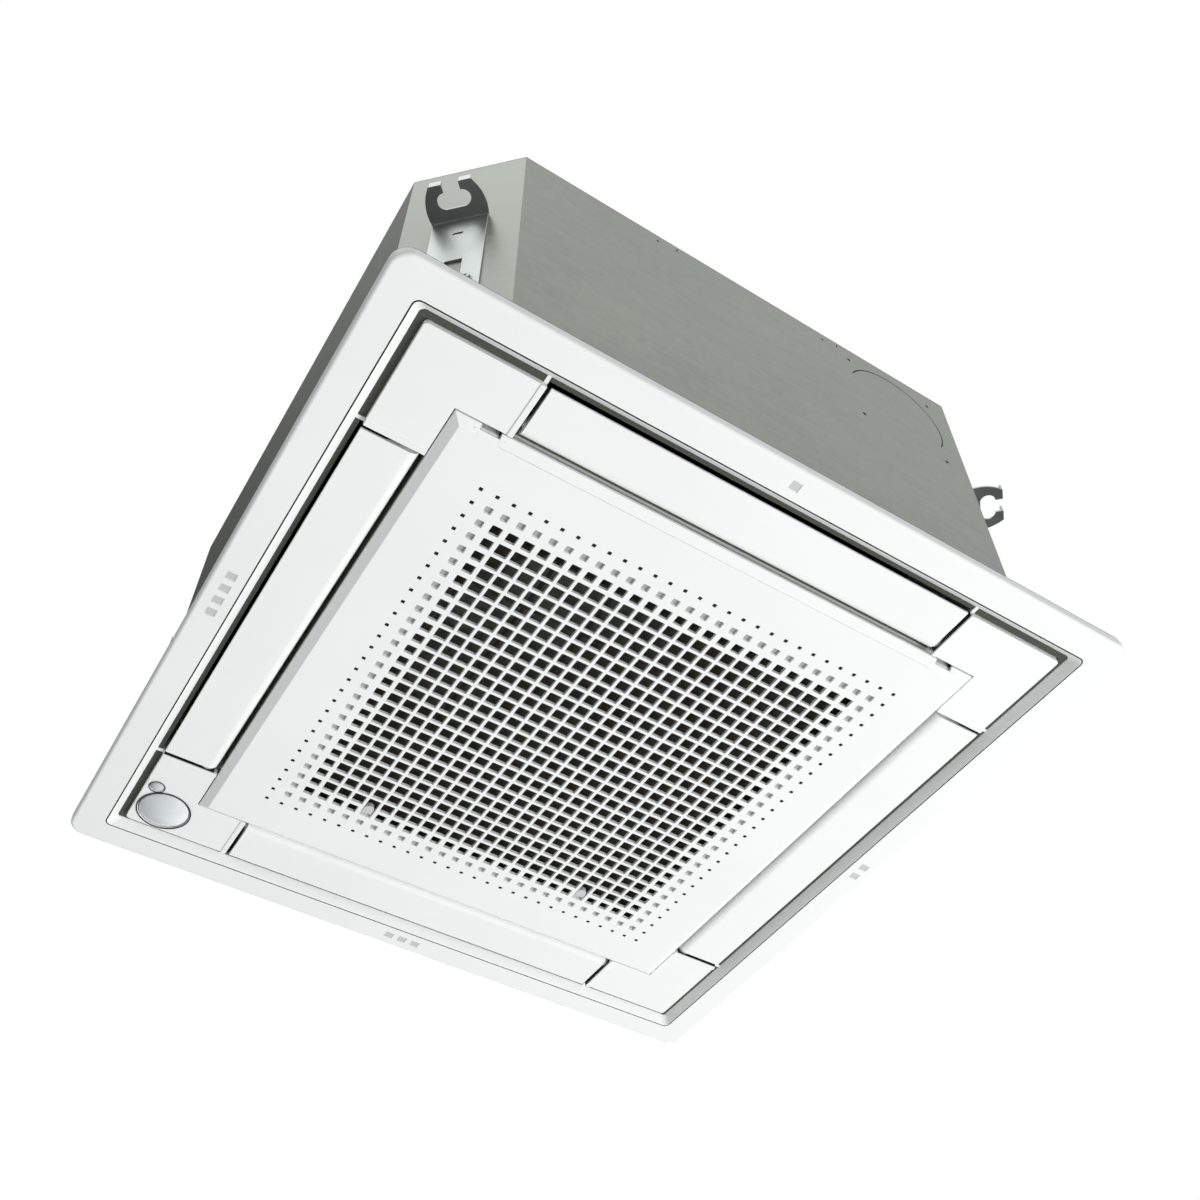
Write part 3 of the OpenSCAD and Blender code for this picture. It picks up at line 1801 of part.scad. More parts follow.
module air_filter() {
  half = filter_half;
  rib_pitch = 2 * (filter_half - filter_rim_w) / (filter_ribs + 1);
  color([0.3, 0.3, 0.28]) {
    slab(filter_z, filter_h)
      difference() {
        square(2 * filter_half, center = true);
        square(2 * (filter_half - filter_rim_w), center = true);
      }
    slab(filter_z + filter_h / 2, filter_h / 2) {
      for (i = [1:filter_ribs]) {
        translate([-half + over, -half + filter_rim_w + i * rib_pitch - filter_rib_w / 2])
          square([2 * filter_half - 2 * over, filter_rib_w]);
        translate([-half + filter_rim_w + i * rib_pitch - filter_rib_w / 2, -half + over])
          square([filter_rib_w, 2 * filter_half - 2 * over]);
      }
    }
  }
}

// Net under the filter's ribs
module filter_net() {
  clear = 2 * (filter_half - filter_rim_w);
  cell_w = (clear - net_strand) / net_cells;
  color([0.36, 0.35, 0.31])
    slab(filter_z + filter_h / 2 - net_t, net_t)
      difference() {
        square(clear, center = true);
        for (i = [0:net_cells - 1], j = [0:net_cells - 1])
          translate([(i + 0.5 - net_cells / 2) * cell_w, (j + 0.5 - net_cells / 2) * cell_w])
            square(cell_w - net_strand, center = true);
      }
}

// Spring latch: a thumb tongue in the pattern and a bar that runs to the rim
module latch(i) {
  bar_z = up(grille_t - grille_drop) + touch;
  nose_y = duct_wall_inner - touch;
  tongue_y = latch_y - latch_tongue_l / 2;
  color([0.85, 0.86, 0.86])
    translate([i * latch_x, 0, 0]) {
      translate([-latch_w / 2, tongue_y + latch_tongue_w / 2, bar_z])
        cube([latch_w, nose_y - tongue_y - latch_tongue_w / 2, latch_t]);
      slab(bar_z - latch_tongue_drop + touch, latch_tongue_drop + latch_t - touch) {
        translate([0, tongue_y + latch_tongue_w / 2])
          circle(latch_tongue_w / 2);
        translate([-latch_tongue_w / 2, tongue_y + latch_tongue_w / 2])
          square([latch_tongue_w, latch_tongue_l - latch_tongue_w / 2]);
      }
      translate([-latch_w / 2, nose_y - latch_nose_l, bar_z])
        cube([latch_w, latch_nose_l, latch_nose_z]);
    }
}

casing_wrap();
casing_top();
casing_liner();
on_chamfer(1) hanger_bracket();  // hanger_bracket_1
on_chamfer(2) hanger_bracket();  // hanger_bracket_2
on_chamfer(3) hanger_bracket();  // hanger_bracket_3
on_chamfer(4) hanger_bracket();  // hanger_bracket_4
bracket_screws();
fan_motor();
motor_bushes();
motor_nuts();
fan_wheel();
fan_shaft();
fan_nut();
bell_mouth();
coil_fins();
coil_tubes();
coil_end_plates();
gas_pipe();
liquid_pipe();
flare_nut(gas_pipe_r, gas_pipe_h);  // gas_flare_nut
flare_nut(liquid_pipe_r, liquid_pipe_h);  // liquid_flare_nut
pipe_cover();
drain_pan();
drain_pump();
pump_impeller();
float_switch();
float_ring();
drain_hose();
drain_socket();
control_box();
control_lid();
circuit_board();
wire_grommet();
panel_flange();
panel_frame();
ceiling_seal();
duct_seals();
corner_cover(1);  // corner_cover_1
corner_cover(2);  // corner_cover_2
corner_cover(3);  // corner_cover_3
corner_cover(4);  // corner_cover_4
flap(1);  // flap_1
flap(2);  // flap_2
flap(3);  // flap_3
flap(4);  // flap_4
flap_motor(1);  // flap_motor_1
flap_motor(2);  // flap_motor_2
flap_motor(3);  // flap_motor_3
flap_motor(4);  // flap_motor_4
flap_bushes();
panel_screws();
sensor_dome();
sensor_spot();
intake_grille();
grille_pins();
air_filter();
filter_net();
latch(-1);  // latch_1
latch(1);  // latch_2
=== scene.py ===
"""Ceiling cassette air conditioner: finishes, fine detail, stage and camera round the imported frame.

Every length is in metres and every piece lies where its CAD node lies. +Z is up, the origin is at the
height of the suspension hooks, and the panel hangs at the bottom.
"""

import json
import math

import bmesh
import bpy
from mathutils import Matrix, Vector


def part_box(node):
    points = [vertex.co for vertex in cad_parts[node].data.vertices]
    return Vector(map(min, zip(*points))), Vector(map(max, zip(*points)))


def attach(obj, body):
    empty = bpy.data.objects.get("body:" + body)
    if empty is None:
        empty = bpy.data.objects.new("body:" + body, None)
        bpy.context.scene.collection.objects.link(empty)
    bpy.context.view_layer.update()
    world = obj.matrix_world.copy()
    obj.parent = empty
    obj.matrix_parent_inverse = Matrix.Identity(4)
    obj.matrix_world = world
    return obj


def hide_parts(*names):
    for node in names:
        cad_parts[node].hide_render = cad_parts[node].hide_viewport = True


bl_info = {
    "name": "Ceiling cassette air conditioner",
    "version": (1, 0, 0),
    "blender": (4, 5, 0),
    "location": "3D View > Sidebar > Cassette",
    "description": "Dresses the CAD frame of a four-way ceiling cassette with its finishes and fine detail",
    "category": "Add Mesh",
}

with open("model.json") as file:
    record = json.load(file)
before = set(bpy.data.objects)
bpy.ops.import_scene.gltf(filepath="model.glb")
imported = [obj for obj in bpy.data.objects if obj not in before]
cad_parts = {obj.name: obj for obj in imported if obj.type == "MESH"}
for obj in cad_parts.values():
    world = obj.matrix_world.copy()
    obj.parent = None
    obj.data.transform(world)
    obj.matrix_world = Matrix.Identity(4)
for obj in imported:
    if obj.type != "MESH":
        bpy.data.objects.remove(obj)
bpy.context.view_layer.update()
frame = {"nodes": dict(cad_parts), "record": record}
RECORD = frame["record"]
BODY_OF = {node: body for body, nodes in RECORD["behaviour"]["bodies"].items() for node in nodes}
SLOT_OF = {part["node"]: part["material_slot"] for part in RECORD["subparts"]}

MM = 0.001
PANEL_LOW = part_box("panel_flange")[0][2]
GRILLE_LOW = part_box("intake_grille")[0][2]


# Colours and sizes that a user would change: sRGB hex values, and lengths in millimetres

COLOURS = {
    "panel_white": ("#EFF0EE", "Moulded ABS of the panel, flaps and grille"),
    "trim_grey": ("#C7CAC9", "Light grey ABS of latches, housings and spot sensor"),
    "zinc_grey": ("#929790", "Galvanised steel sheet of the casing"),
    "bracket_zinc": ("#BCC2C1", "Pressed, zinc-plated brackets and fasteners"),
    "liner_foam": ("#34383A", "Moulded liner inside the casing"),
    "pan_foam": ("#CBCDC8", "Expanded polystyrene of the drain pan"),
    "fan_grey": ("#B7BBB8", "Glass-filled polypropylene of the fan"),
    "bell_grey": ("#4A4C49", "Moulded bell mouth"),
    "motor_enamel": ("#3B3F42", "Powder-coated motor"),
    "fin_silver": ("#C3CBCB", "Coated aluminium fins"),
    "copper": ("#C9825B", "Drawn copper tube"),
    "brass": ("#C8A862", "Forged brass nuts"),
    "rubber": ("#232424", "Moulded black rubber"),
    "seal_grey": ("#3C3E3E", "Closed-cell seals"),
    "pump_grey": ("#D6D8D4", "Moulded pump body"),
    "float_blue": ("#6F8FA6", "Foamed float"),
    "board_green": ("#2F6B45", "Coated circuit board"),
    "filter_brown": ("#3B3830", "Filter lattice"),
    "mesh_brown": ("#403C33", "Woven filter mesh"),
    "lens_silver": ("#E3E7E7", "Moulded sensor dome"),
    "outlet_grey": ("#99978A", "Lining inside the air outlets"),
    # Painted shade: the groove lining colour stands in for the shade in the grooves beside the corner
    # covers.
    "groove_grey": ("#4C4C45", "Dark lining of the grooves beside the corner covers"),
    # Painted shadow: the seam colour stands in for the shadow lines in the panel's seams and gaps.
    "seam_black": ("#1D2421", "Thin gaskets in the panel's seams"),
    # Painted shade: the dimple and dot floor colours stand in for the shade in these pockets.
    "dimple_grey": ("#A3A5A1", "Floors of the grille's blind dimples"),
    "dot_black": ("#20211E", "Floors of the grille's outermost dots"),
    # Painted shade: the mark floor colour stands in for the shade in the sunk outlet marks.
    "mark_grey": ("#C6C8C7", "Floors of the outlet marks"),
    "floor_white": ("#F4F4F3", "Pale studio floor"),
}

LENGTHS = {
    "edge_round": (0.5, "Radius on the edges of moulded pieces"),
    "sheet_round": (0.35, "Radius on the edges of sheet metal"),
    "flange_round": (3, "Radius of the panel's outer lower edge"),
    "hole_pitch": (13, "Spacing of the intake holes"),
    "hole_large": (10.4, "Side of the large intake holes"),
    "hole_medium": (8.3, "Side of the holes in the last open row"),
    "hole_dimple": (6, "Side of the blind dimples"),
    "hole_dot": (3, "Side of the outermost dots"),
    "dimple_depth": (2.2, "Depth of dimples and dots"),
    "plate_thickness": (3, "Thickness of the grille plate"),
    "hole_round": (0.7, "Corner radius of the intake holes"),
    "hole_rim": (0.22, "Eased rim round each hole"),
    "latch_place": (104, "Distance of the latches from the middle"),
    "thread_pitch": (1.7, "Spacing of the filter's threads"),
    "thread_width": (0.55, "Width of one thread"),
    "coil_depth": (26, "Depth of the finned ring"),
    "coil_corner": (50, "Outer radius of the coil's bends"),
    "fin_pitch": (2.2, "Spacing of the coil's fins"),
    "fin_thickness": (0.35, "Thickness of one fin"),
}


def linear(code):
    """Linear colour of an sRGB hex value."""
    parts = [int(code[i:i + 2], 16) / 255 for i in (1, 3, 5)]
    return tuple(p / 12.92 if p <= 0.04045 else ((p + 0.055) / 1.055) ** 2.4 for p in parts)


class CassetteColours(bpy.types.PropertyGroup):
    __annotations__ = {
        key: bpy.props.FloatVectorProperty(
            name=key.replace("_", " ").capitalize(), description=text, subtype="COLOR",
            size=3, min=0, max=1, default=linear(code))
        for key, (code, text) in COLOURS.items()}


class CassetteSizes(bpy.types.PropertyGroup):
    __annotations__ = {
        key: bpy.props.FloatProperty(
            name=key.replace("_", " ").capitalize(), description=text, min=0, unit="LENGTH",
            subtype="DISTANCE", precision=5, default=length * MM)
        for key, (length, text) in LENGTHS.items()}
    __annotations__["hole_rows"] = bpy.props.IntProperty(
        name="Hole rows", description="Rows and columns of holes", default=29, min=9, max=61)


def colours():
    return bpy.context.scene.cassette_colours


def sizes():
    return bpy.context.scene.cassette_sizes


# Nodes

def add(tree, kind, inputs=None, **settings):
    """Adds a node, with its settings and its inputs' values or links."""
    node = tree.nodes.new(kind)
    for name, value in settings.items():
        setattr(node, name, value)
    for key, value in (inputs or {}).items():
        if isinstance(value, bpy.types.NodeSocket):
            tree.links.new(value, node.inputs[key])
        else:
            node.inputs[key].default_value = value
    return node


class GeometryTree:
    """A geometry node tree in the making; labels has its inputs' names under their sockets' kinds."""

    def __init__(self, name, **labels):
        self.tree = bpy.data.node_groups.new(name, "GeometryNodeTree")
        interface = self.tree.interface
        for kind, names in ({"Geometry": ["Geometry"]} | labels | {"Material": ["Material"]}).items():
            for name in names:
                interface.new_socket(name, in_out="INPUT", socket_type="NodeSocket" + kind)
        interface.new_socket("Geometry", in_out="OUTPUT", socket_type="NodeSocketGeometry")
        self.entry = self.add("NodeGroupInput")

    def __getitem__(self, name):
        return self.entry.outputs[name]

    def add(self, kind, inputs=None, **settings):
        return add(self.tree, kind, inputs, **settings)

    def math(self, operation, *values):
        return self.add("ShaderNodeMath", dict(enumerate(values)), operation=operation).outputs["Value"]

    def vector(self, **parts):
        return self.add("ShaderNodeCombineXYZ", parts).outputs["Vector"]

    def position(self):
        """X and Y of each point."""
        place = self.add("GeometryNodeInputPosition").outputs["Position"]
        parts = self.add("ShaderNodeSeparateXYZ", {"Vector": place}).outputs
        return parts["X"], parts["Y"]

    def object_in(self, name):
        return self.add("GeometryNodeObjectInfo", {"Object": self[name]}).outputs["Geometry"]

    def copies(self, points, piece, **more):
        placed = self.add("GeometryNodeInstanceOnPoints", {"Points": points, "Instance": piece, **more})
        return placed.outputs["Instances"]

    def joined(self, pieces):
        node = self.add("GeometryNodeJoinGeometry")
        for piece in pieces:
            self.tree.links.new(piece, node.inputs["Geometry"])
        return node.outputs["Geometry"]

    def real(self, instances):
        return self.add("GeometryNodeRealizeInstances", {"Geometry": instances}).outputs["Geometry"]

    def closed(self, geometry):
        """The tree, ended in real geometry with its material."""
        done = self.add("GeometryNodeSetMaterial", {
            "Geometry": self.real(geometry), "Material": self["Material"]})
        self.add("NodeGroupOutput", {"Geometry": done.outputs["Geometry"]})
        return self.tree


# Materials

class Finish:
    """A material in the making: its shader, and patterns in its object's coordinates."""

    def __init__(self, name, colour, roughness, metallic=0.0, ior=1.5, coat=0.0):
        self.material = bpy.data.materials.new(name)
        self.material.use_nodes = True
        self.tree = self.material.node_tree
        self.tree.nodes.clear()
        self.colour = colour
        self.shader = self.add("ShaderNodeBsdfPrincipled", {
            "Base Color": (*colour, 1), "Roughness": roughness, "Metallic": metallic, "IOR": ior,
            "Coat Weight": coat})
        self.add("ShaderNodeOutputMaterial", {"Surface": self.shader.outputs["BSDF"]})
        self.place = self.add("ShaderNodeTexCoord").outputs["Object"]

    def add(self, kind, inputs=None):
        return add(self.tree, kind, inputs)

    def drive(self, name, socket):
        self.tree.links.new(socket, self.shader.inputs[name])

    def share(self, part):
        return (*[min(1, c * part) for c in self.colour], 1)

    def noise(self, grain, detail=2, stretch=(1, 1, 1)):
        """Noise whose features are about grain metres across, stretched by a factor on each axis."""
        spot = self.add("ShaderNodeMapping", {
            "Vector": self.place, "Scale": tuple(1 / (grain * s) for s in stretch)}).outputs["Vector"]
        return self.add("ShaderNodeTexNoise", {"Vector": spot, "Scale": 1, "Detail": detail}).outputs["Fac"]

    def cells(self, across, randomness):
        """A pattern of cells so many metres across."""
        return self.add("ShaderNodeTexVoronoi", {
            "Vector": self.place, "Scale": 1 / across, "Randomness": randomness}).outputs

    def mix(self, factor, first, second):
        return self.add("ShaderNodeMix", {"Factor": factor, "A": first, "B": second}).outputs["Result"]

    def vary(self, fac, dark, light):
        """Base colour that runs between two shares of the colour as fac goes from 0.3 to 0.7."""
        ramp = self.add("ShaderNodeValToRGB", {"Fac": fac})
        for stop, position, part in zip(ramp.color_ramp.elements, (0.3, 0.7), (dark, light)):
            stop.position = position
            stop.color = self.share(part)
        self.drive("Base Color", ramp.outputs["Color"])

    def spread(self, fac, low, high):
        """Roughness between two values as fac goes from 0.3 to 0.7."""
        span = self.add("ShaderNodeMapRange", {
            "Value": fac, "From Min": 0.3, "From Max": 0.7, "To Min": low, "To Max": high})
        self.drive("Roughness", span.outputs["Result"])

    def emboss(self, height, strength, depth):
        """Bump of the given depth in metres."""
        bump = self.add("ShaderNodeBump", {"Height": height, "Strength": strength, "Distance": depth})
        self.drive("Normal", bump.outputs["Normal"])


def moulded_abs(name, colour, roughness=0.42):
    """Injection-moulded ABS: a satin skin off a spark-eroded tool, with faint clouds of tone."""
    f = Finish(name, colour, roughness, ior=1.54)
    f.vary(f.noise(120 * MM, 3), 0.985, 1.012)
    # A spark texture is about 0.1 mm; it is drawn at 0.9 mm so that it shows.
    grain = f.noise(0.9 * MM)
    f.spread(grain, roughness - 0.05, roughness + 0.07)
    f.emboss(grain, 0.12, 0.04 * MM)
    return f.material


def galvanised_sheet(name, colour):
    """Cold-rolled, hot-dip galvanised sheet: dull grey-green zinc, flat crystals, rolling streaks."""
    f = Finish(name, colour, 0.4, metallic=0.75)
    # Spangle crystals about 9 mm across, each with its own tone.
    crystals = f.cells(9 * MM, 1.0)
    tone = f.add("ShaderNodeSeparateColor", {"Color": crystals["Color"]}).outputs["Red"]
    # The strip is rolled along the sheet, so streaks lie level on the walls, 3 mm apart and 60 mm long.
    streak = f.noise(3 * MM, 3, (20, 20, 1))
    cloud = f.noise(90 * MM, 3)
    mixed = f.mix(0.14, f.mix(0.5, cloud, streak), tone)
    f.vary(mixed, 0.84, 1.17)
    f.spread(mixed, 0.34, 0.46)
    f.emboss(streak, 0.1, 0.05 * MM)
    return f.material


def pressed_zinc(name, colour):
    """Bright zinc plate on pressed steel: a brushed sheen, a little duller in the clouds."""
    f = Finish(name, colour, 0.4, metallic=0.95)
    # Brushing lines 0.8 mm apart, along the strip.
    lines = f.noise(0.8 * MM, 3, (1, 1, 60))
    mixed = f.mix(0.45, f.noise(25 * MM), lines)
    f.vary(mixed, 0.9, 1.1)
    f.spread(mixed, 0.34, 0.48)
    f.emboss(lines, 0.12, 0.04 * MM)
    return f.material


def bead_foam(name, colour, bead, depth):
    """Steam-moulded bead foam: close-packed beads that leave a pebbled skin."""
    f = Finish(name, colour, 0.75, ior=1.45)
    beads = f.cells(bead, 0.8)["Distance"]
    f.vary(beads, 1.05, 0.88)
    f.emboss(beads, 0.5, -depth)
    return f.material


def rubber_skin(name, colour, grain):
    """Moulded rubber or closed-cell foam: matt and dark with a fine tooth."""
    f = Finish(name, colour, 0.66, ior=1.52)
    tooth = f.noise(grain, 3)
    f.vary(tooth, 0.8, 1.25)
    f.emboss(tooth, 0.35, 0.15 * MM)
    return f.material


def powder_coat(name, colour):
    """Baked powder coat: an even film with orange peel about 2.5 mm across."""
    f = Finish(name, colour, 0.38, coat=0.2)
    peel = f.noise(2.5 * MM, 1)
    f.vary(peel, 0.94, 1.06)
    f.emboss(peel, 0.25, 0.08 * MM)
    return f.material


def fin_stock(name, colour):
    """Rolled aluminium fin strip with a clear water-shedding film, faintly mottled."""
    f = Finish(name, colour, 0.3, metallic=0.9)
    mottle = f.noise(6 * MM, 3)
    f.vary(mottle, 0.88, 1.06)
    f.spread(mottle, 0.24, 0.4)
    return f.material


def drawn_tube(name, colour):
    """Drawn copper or forged brass: bright, with handling stains about 9 mm across."""
    f = Finish(name, colour, 0.28, metallic=1.0)
    stain = f.noise(9 * MM, 4)
    f.vary(stain, 0.78, 1.08)
    f.spread(stain, 0.2, 0.42)
    return f.material


def coated_board(name, colour):
    """Epoxy-glass board under green resist, with tracks as lighter lanes in a 10 mm pattern."""
    f = Finish(name, colour, 0.35, ior=1.55, coat=0.4)
    lanes = f.add("ShaderNodeTexBrick", {
        "Vector": f.place, "Scale": 1 / (10 * MM), "Color1": f.share(1), "Color2": f.share(1.25),
        "Mortar": f.share(0.7), "Mortar Size": 0.03})
    f.drive("Base Color", lanes.outputs["Color"])
    return f.material


def woven_mesh(name, colour):
    """Woven nylon thread: dull brown-grey, darker where lint gathers."""
    f = Finish(name, colour, 0.6, ior=1.53)
    f.vary(f.noise(14 * MM, 4), 0.72, 1.2)
    return f.material


def pearl_lens(name, colour):
    """Moulded polyethylene lens: milky, with a silvery gloss."""
    f = Finish(name, colour, 0.24, metallic=0.12, ior=1.52, coat=0.3)
    f.vary(f.noise(30 * MM), 0.94, 1.05)
    # A ripple in the moulding, 1.2 mm across, only just felt.
    f.emboss(f.noise(1.2 * MM, 1), 0.08, 0.03 * MM)
    return f.material


# Maker, material's name, colour and further arguments of each slot of the record.
FINISHES = {
    "galvanised_sheet": (galvanised_sheet, "Galvanised steel, rolled sheet", "zinc_grey"),
    "zinc_plated_steel": (pressed_zinc, "Zinc-plated steel, pressed", "bracket_zinc"),
    "white_abs": (moulded_abs, "White ABS, injection moulded", "panel_white"),
    "light_grey_abs": (moulded_abs, "Light grey ABS, injection moulded", "trim_grey", 0.46),
    "foam_liner": (bead_foam, "Black bead foam, moulded", "liner_foam", 3 * MM, 0.25 * MM),
    "foam_pan": (bead_foam, "Expanded polystyrene, moulded", "pan_foam", 4 * MM, 0.3 * MM),
    "fan_plastic": (moulded_abs, "Glass-filled polypropylene, moulded", "fan_grey", 0.5),
    "bell_plastic": (moulded_abs, "Dark polypropylene, moulded", "bell_grey", 0.5),
    "motor_enamel": (powder_coat, "Powder coat on steel, baked", "motor_enamel"),
    "fin_aluminium": (fin_stock, "Aluminium fin stock, stamped", "fin_silver"),
    "copper_tube": (drawn_tube, "Copper tube, drawn", "copper"),
    "flare_brass": (drawn_tube, "Brass, forged and turned", "brass"),
    "black_rubber": (rubber_skin, "Black rubber, moulded", "rubber", 0.8 * MM),
    "seal_foam": (rubber_skin, "Closed-cell seal foam, cut", "seal_grey", 1.6 * MM),
    "pump_plastic": (moulded_abs, "Pump housing plastic, moulded", "pump_grey", 0.4),
    "float_plastic": (moulded_abs, "Foamed float plastic, moulded", "float_blue", 0.55),
    "board_laminate": (coated_board, "Epoxy-glass board, coated", "board_green"),
    "filter_plastic": (moulded_abs, "Filter lattice plastic, moulded", "filter_brown", 0.55),
    "filter_mesh": (woven_mesh, "Nylon filter mesh, woven", "mesh_brown"),
    "sensor_lens": (pearl_lens, "Sensor lens, moulded polyethylene", "lens_silver"),
    "impeller_plastic": (moulded_abs, "Impeller plastic, moulded", "pump_grey", 0.45),
}
MATERIALS = {}


def finish_for(slot):
    """The material of a slot of the record, made once."""
    if slot not in MATERIALS:
        maker, name, colour, *more = FINISHES[slot]
        MATERIALS[slot] = maker(name, getattr(colours(), colour), *more)
    return MATERIALS[slot]


def paint(*nodes):
    """Gives CAD nodes that stay as they are the finish of their slot."""
    for node in nodes:
        data = frame["nodes"][node].data
        data.materials.clear()
        data.materials.append(finish_for(SLOT_OF[node]))


# Meshes

def settled(obj):
    """Turns an object with modifiers into a plain mesh."""
    bpy.context.view_layer.update()
    depsgraph = bpy.context.evaluated_depsgraph_get()
    mesh = bpy.data.meshes.new_from_object(
        obj.evaluated_get(depsgraph), preserve_all_data_layers=True, depsgraph=depsgraph)
    obj.modifiers.clear()
    old = obj.data
    obj.data = mesh
    if old.users == 0:
        bpy.data.meshes.remove(old)
    return obj


def object_of(name, bm, outward=False):
    """A new object in the scene from a bmesh, with its faces turned outward if need be."""
    if outward:
        bmesh.ops.recalc_face_normals(bm, faces=bm.faces)
    mesh = bpy.data.meshes.new(name)
    bm.to_mesh(mesh)
    bm.free()
    obj = bpy.data.objects.new(name, mesh)
    bpy.context.scene.collection.objects.link(obj)
    return obj


def merged(node):
    """A bmesh copy of a CAD node with its triangles joined and its flats made whole."""
    bm = bmesh.new()
    bm.from_mesh(frame["nodes"][node].data)
    bmesh.ops.remove_doubles(bm, verts=bm.verts, dist=0.002 * MM)
    bmesh.ops.dissolve_limit(bm, angle_limit=math.radians(0.6), verts=bm.verts, edges=bm.edges)
    return bm


def adopt(obj, node):
    """The piece stands for a CAD node, on the node's body and in its slot."""
    obj.data.materials.clear()
    obj.data.materials.append(finish_for(SLOT_OF[node]))
    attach(obj, BODY_OF[node])
    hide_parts(node)


def extra(obj, material, slot, body="root"):
    """A fine piece that the CAD model leaves out, on its body; its slot is not used."""
    obj.data.materials.append(material)
    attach(obj, body)


def round_edges(obj, width, segments=2, limit="ANGLE", angle=32):
    bevel = obj.modifiers.new("Eased edges", "BEVEL")
    bevel.width = width
    bevel.segments = segments
    bevel.limit_method = limit
    bevel.angle_limit = math.radians(angle)
    bevel.use_clamp_overlap = False
    bevel.miter_outer = "MITER_ARC" if limit == "ANGLE" and segments > 2 else "MITER_SHARP"
    return settled(obj)


def shade(obj, angle=38):
    obj.data.shade_smooth()
    obj.data.set_sharp_from_angle(angle=math.radians(angle))
    weighted = obj.modifiers.new("Flat faces first", "WEIGHTED_NORMAL")
    weighted.keep_sharp = True
    return settled(obj)


def eased(nodes, width, segments=2, angle=32):
    """Copies of CAD nodes with eased edges, in their places."""
    for node in nodes:
        obj = object_of(node + "_eased", merged(node))
        round_edges(obj, width, segments, angle=angle)
        adopt(shade(obj), node)


def smoothed(*nodes):
    """Copies of CAD nodes with their round faces shaded smooth, in their places."""
    for node in nodes:
        adopt(shade(object_of(node + "_smooth", merged(node))), node)


def numbered(name, count=4):
    return [f"{name}_{k + 1}" for k in range(count)]


def quarter(k, dimensions=4):
    return Matrix.Rotation(math.pi / 2 * k, dimensions, "Z")


def block(bm, low, high, turn=Matrix()):
    """Adds a box from its lowest to its highest corner, then turned."""
    place = turn @ Matrix.Translation((low + high) / 2) @ Matrix.Diagonal((*(high - low), 1))
    bmesh.ops.create_cube(bm, size=1, matrix=place)


def circle(bm, r, z, steps, middle=(0, 0)):
    """Points on a level circle, or its middle alone where the radius is nought."""
    angles = [math.tau * k / steps for k in range(steps if r else 1)]
    return [bm.verts.new((middle[0] + r * math.cos(a), middle[1] + r * math.sin(a), z)) for a in angles]


def bridge(bm, loops):
    """Faces between closed loops that follow each other; a loop of one point makes triangles."""
    for first, second in zip(loops, loops[1:]):
        n = max(len(first), len(second))
        for k in range(n):
            j = (k + 1) % n
            corners = (first[k % len(first)], first[j % len(first)],
                       second[j % len(second)], second[k % len(second)])
            bm.faces.new(list(dict.fromkeys(corners)))


def square_ring(name, half, r, width, low, high):
    """A ring of the given width inside a square with rounded corners."""
    bm = bmesh.new()
    steps = 6
    loops = []
    for z, inset in ((low, 0), (low, width), (high, width), (high, 0)):
        h, q = half - inset, max(r - inset, 0.2 * MM)
        angles = [math.pi / 2 * step / steps for step in range(steps + 1)]
        arc = [Vector((h - q + q * math.cos(a), h - q + q * math.sin(a), z)) for a in angles]
        loops.append([bm.verts.new(quarter(k, 3) @ point) for k in range(4) for point in arc])
    bridge(bm, loops + loops[:1])
    return object_of(name, bm, outward=True)


def round_ring(name, middle, inner, outer, low, high):
    """A flat round ring about a middle point."""
    bm = bmesh.new()
    corners = (inner, low), (outer, low), (outer, high), (inner, high)
    loops = [circle(bm, r, z, 64, middle) for r, z in corners]
    bridge(bm, loops + loops[:1])
    return object_of(name, bm, outward=True)


def islands(node):
    """Corner points of each separate solid of a CAD node."""
    bm = merged(node)
    left = set(bm.verts)
    found = []
    for start in bm.verts:
        if start not in left:
            continue
        left.remove(start)
        group, queue = [], [start]
        while queue:
            vert = queue.pop()
            group.append(vert.co.copy())
            for edge in vert.link_edges:
                other = edge.other_vert(vert)
                if other in left:
                    left.remove(other)
                    queue.append(other)
        found.append(group)
    bm.free()
    return found


def grown(name, tree, values, base=None):
    """An object made by a geometry tree from a base mesh, as plain mesh."""
    obj = object_of(name, base or bmesh.new())
    modifier = obj.modifiers.new(name, "NODES")
    modifier.node_group = tree
    for socket in tree.interface.items_tree:
        if socket.name in values:
            modifier[socket.identifier] = values[socket.name]
    return settled(obj)


# Grille

# From where to where each kind of hole goes, in rows from the outermost one.
HOLE_RINGS = {"Dot": (-0.5, 0.5), "Dimple": (0.5, 1.5), "Medium": (1.5, 2.5), "Large": (2.5, 1e6)}
# The lower row of a latch's hole, counted from the outermost row.
LATCH_ROW = 3
# Outline (y, height over the grille's lowest point) and ends (x) of the hinge slits' skins, in millimetres.
SKIN_OUTLINE = ((-214.0, 0), (-218.5, 0), (-222.0, 2.6), (-222.0, 3.0), (-218.3, 0.8), (-214.0, 0.8))
SKIN_ENDS = (189.9, 205.1)


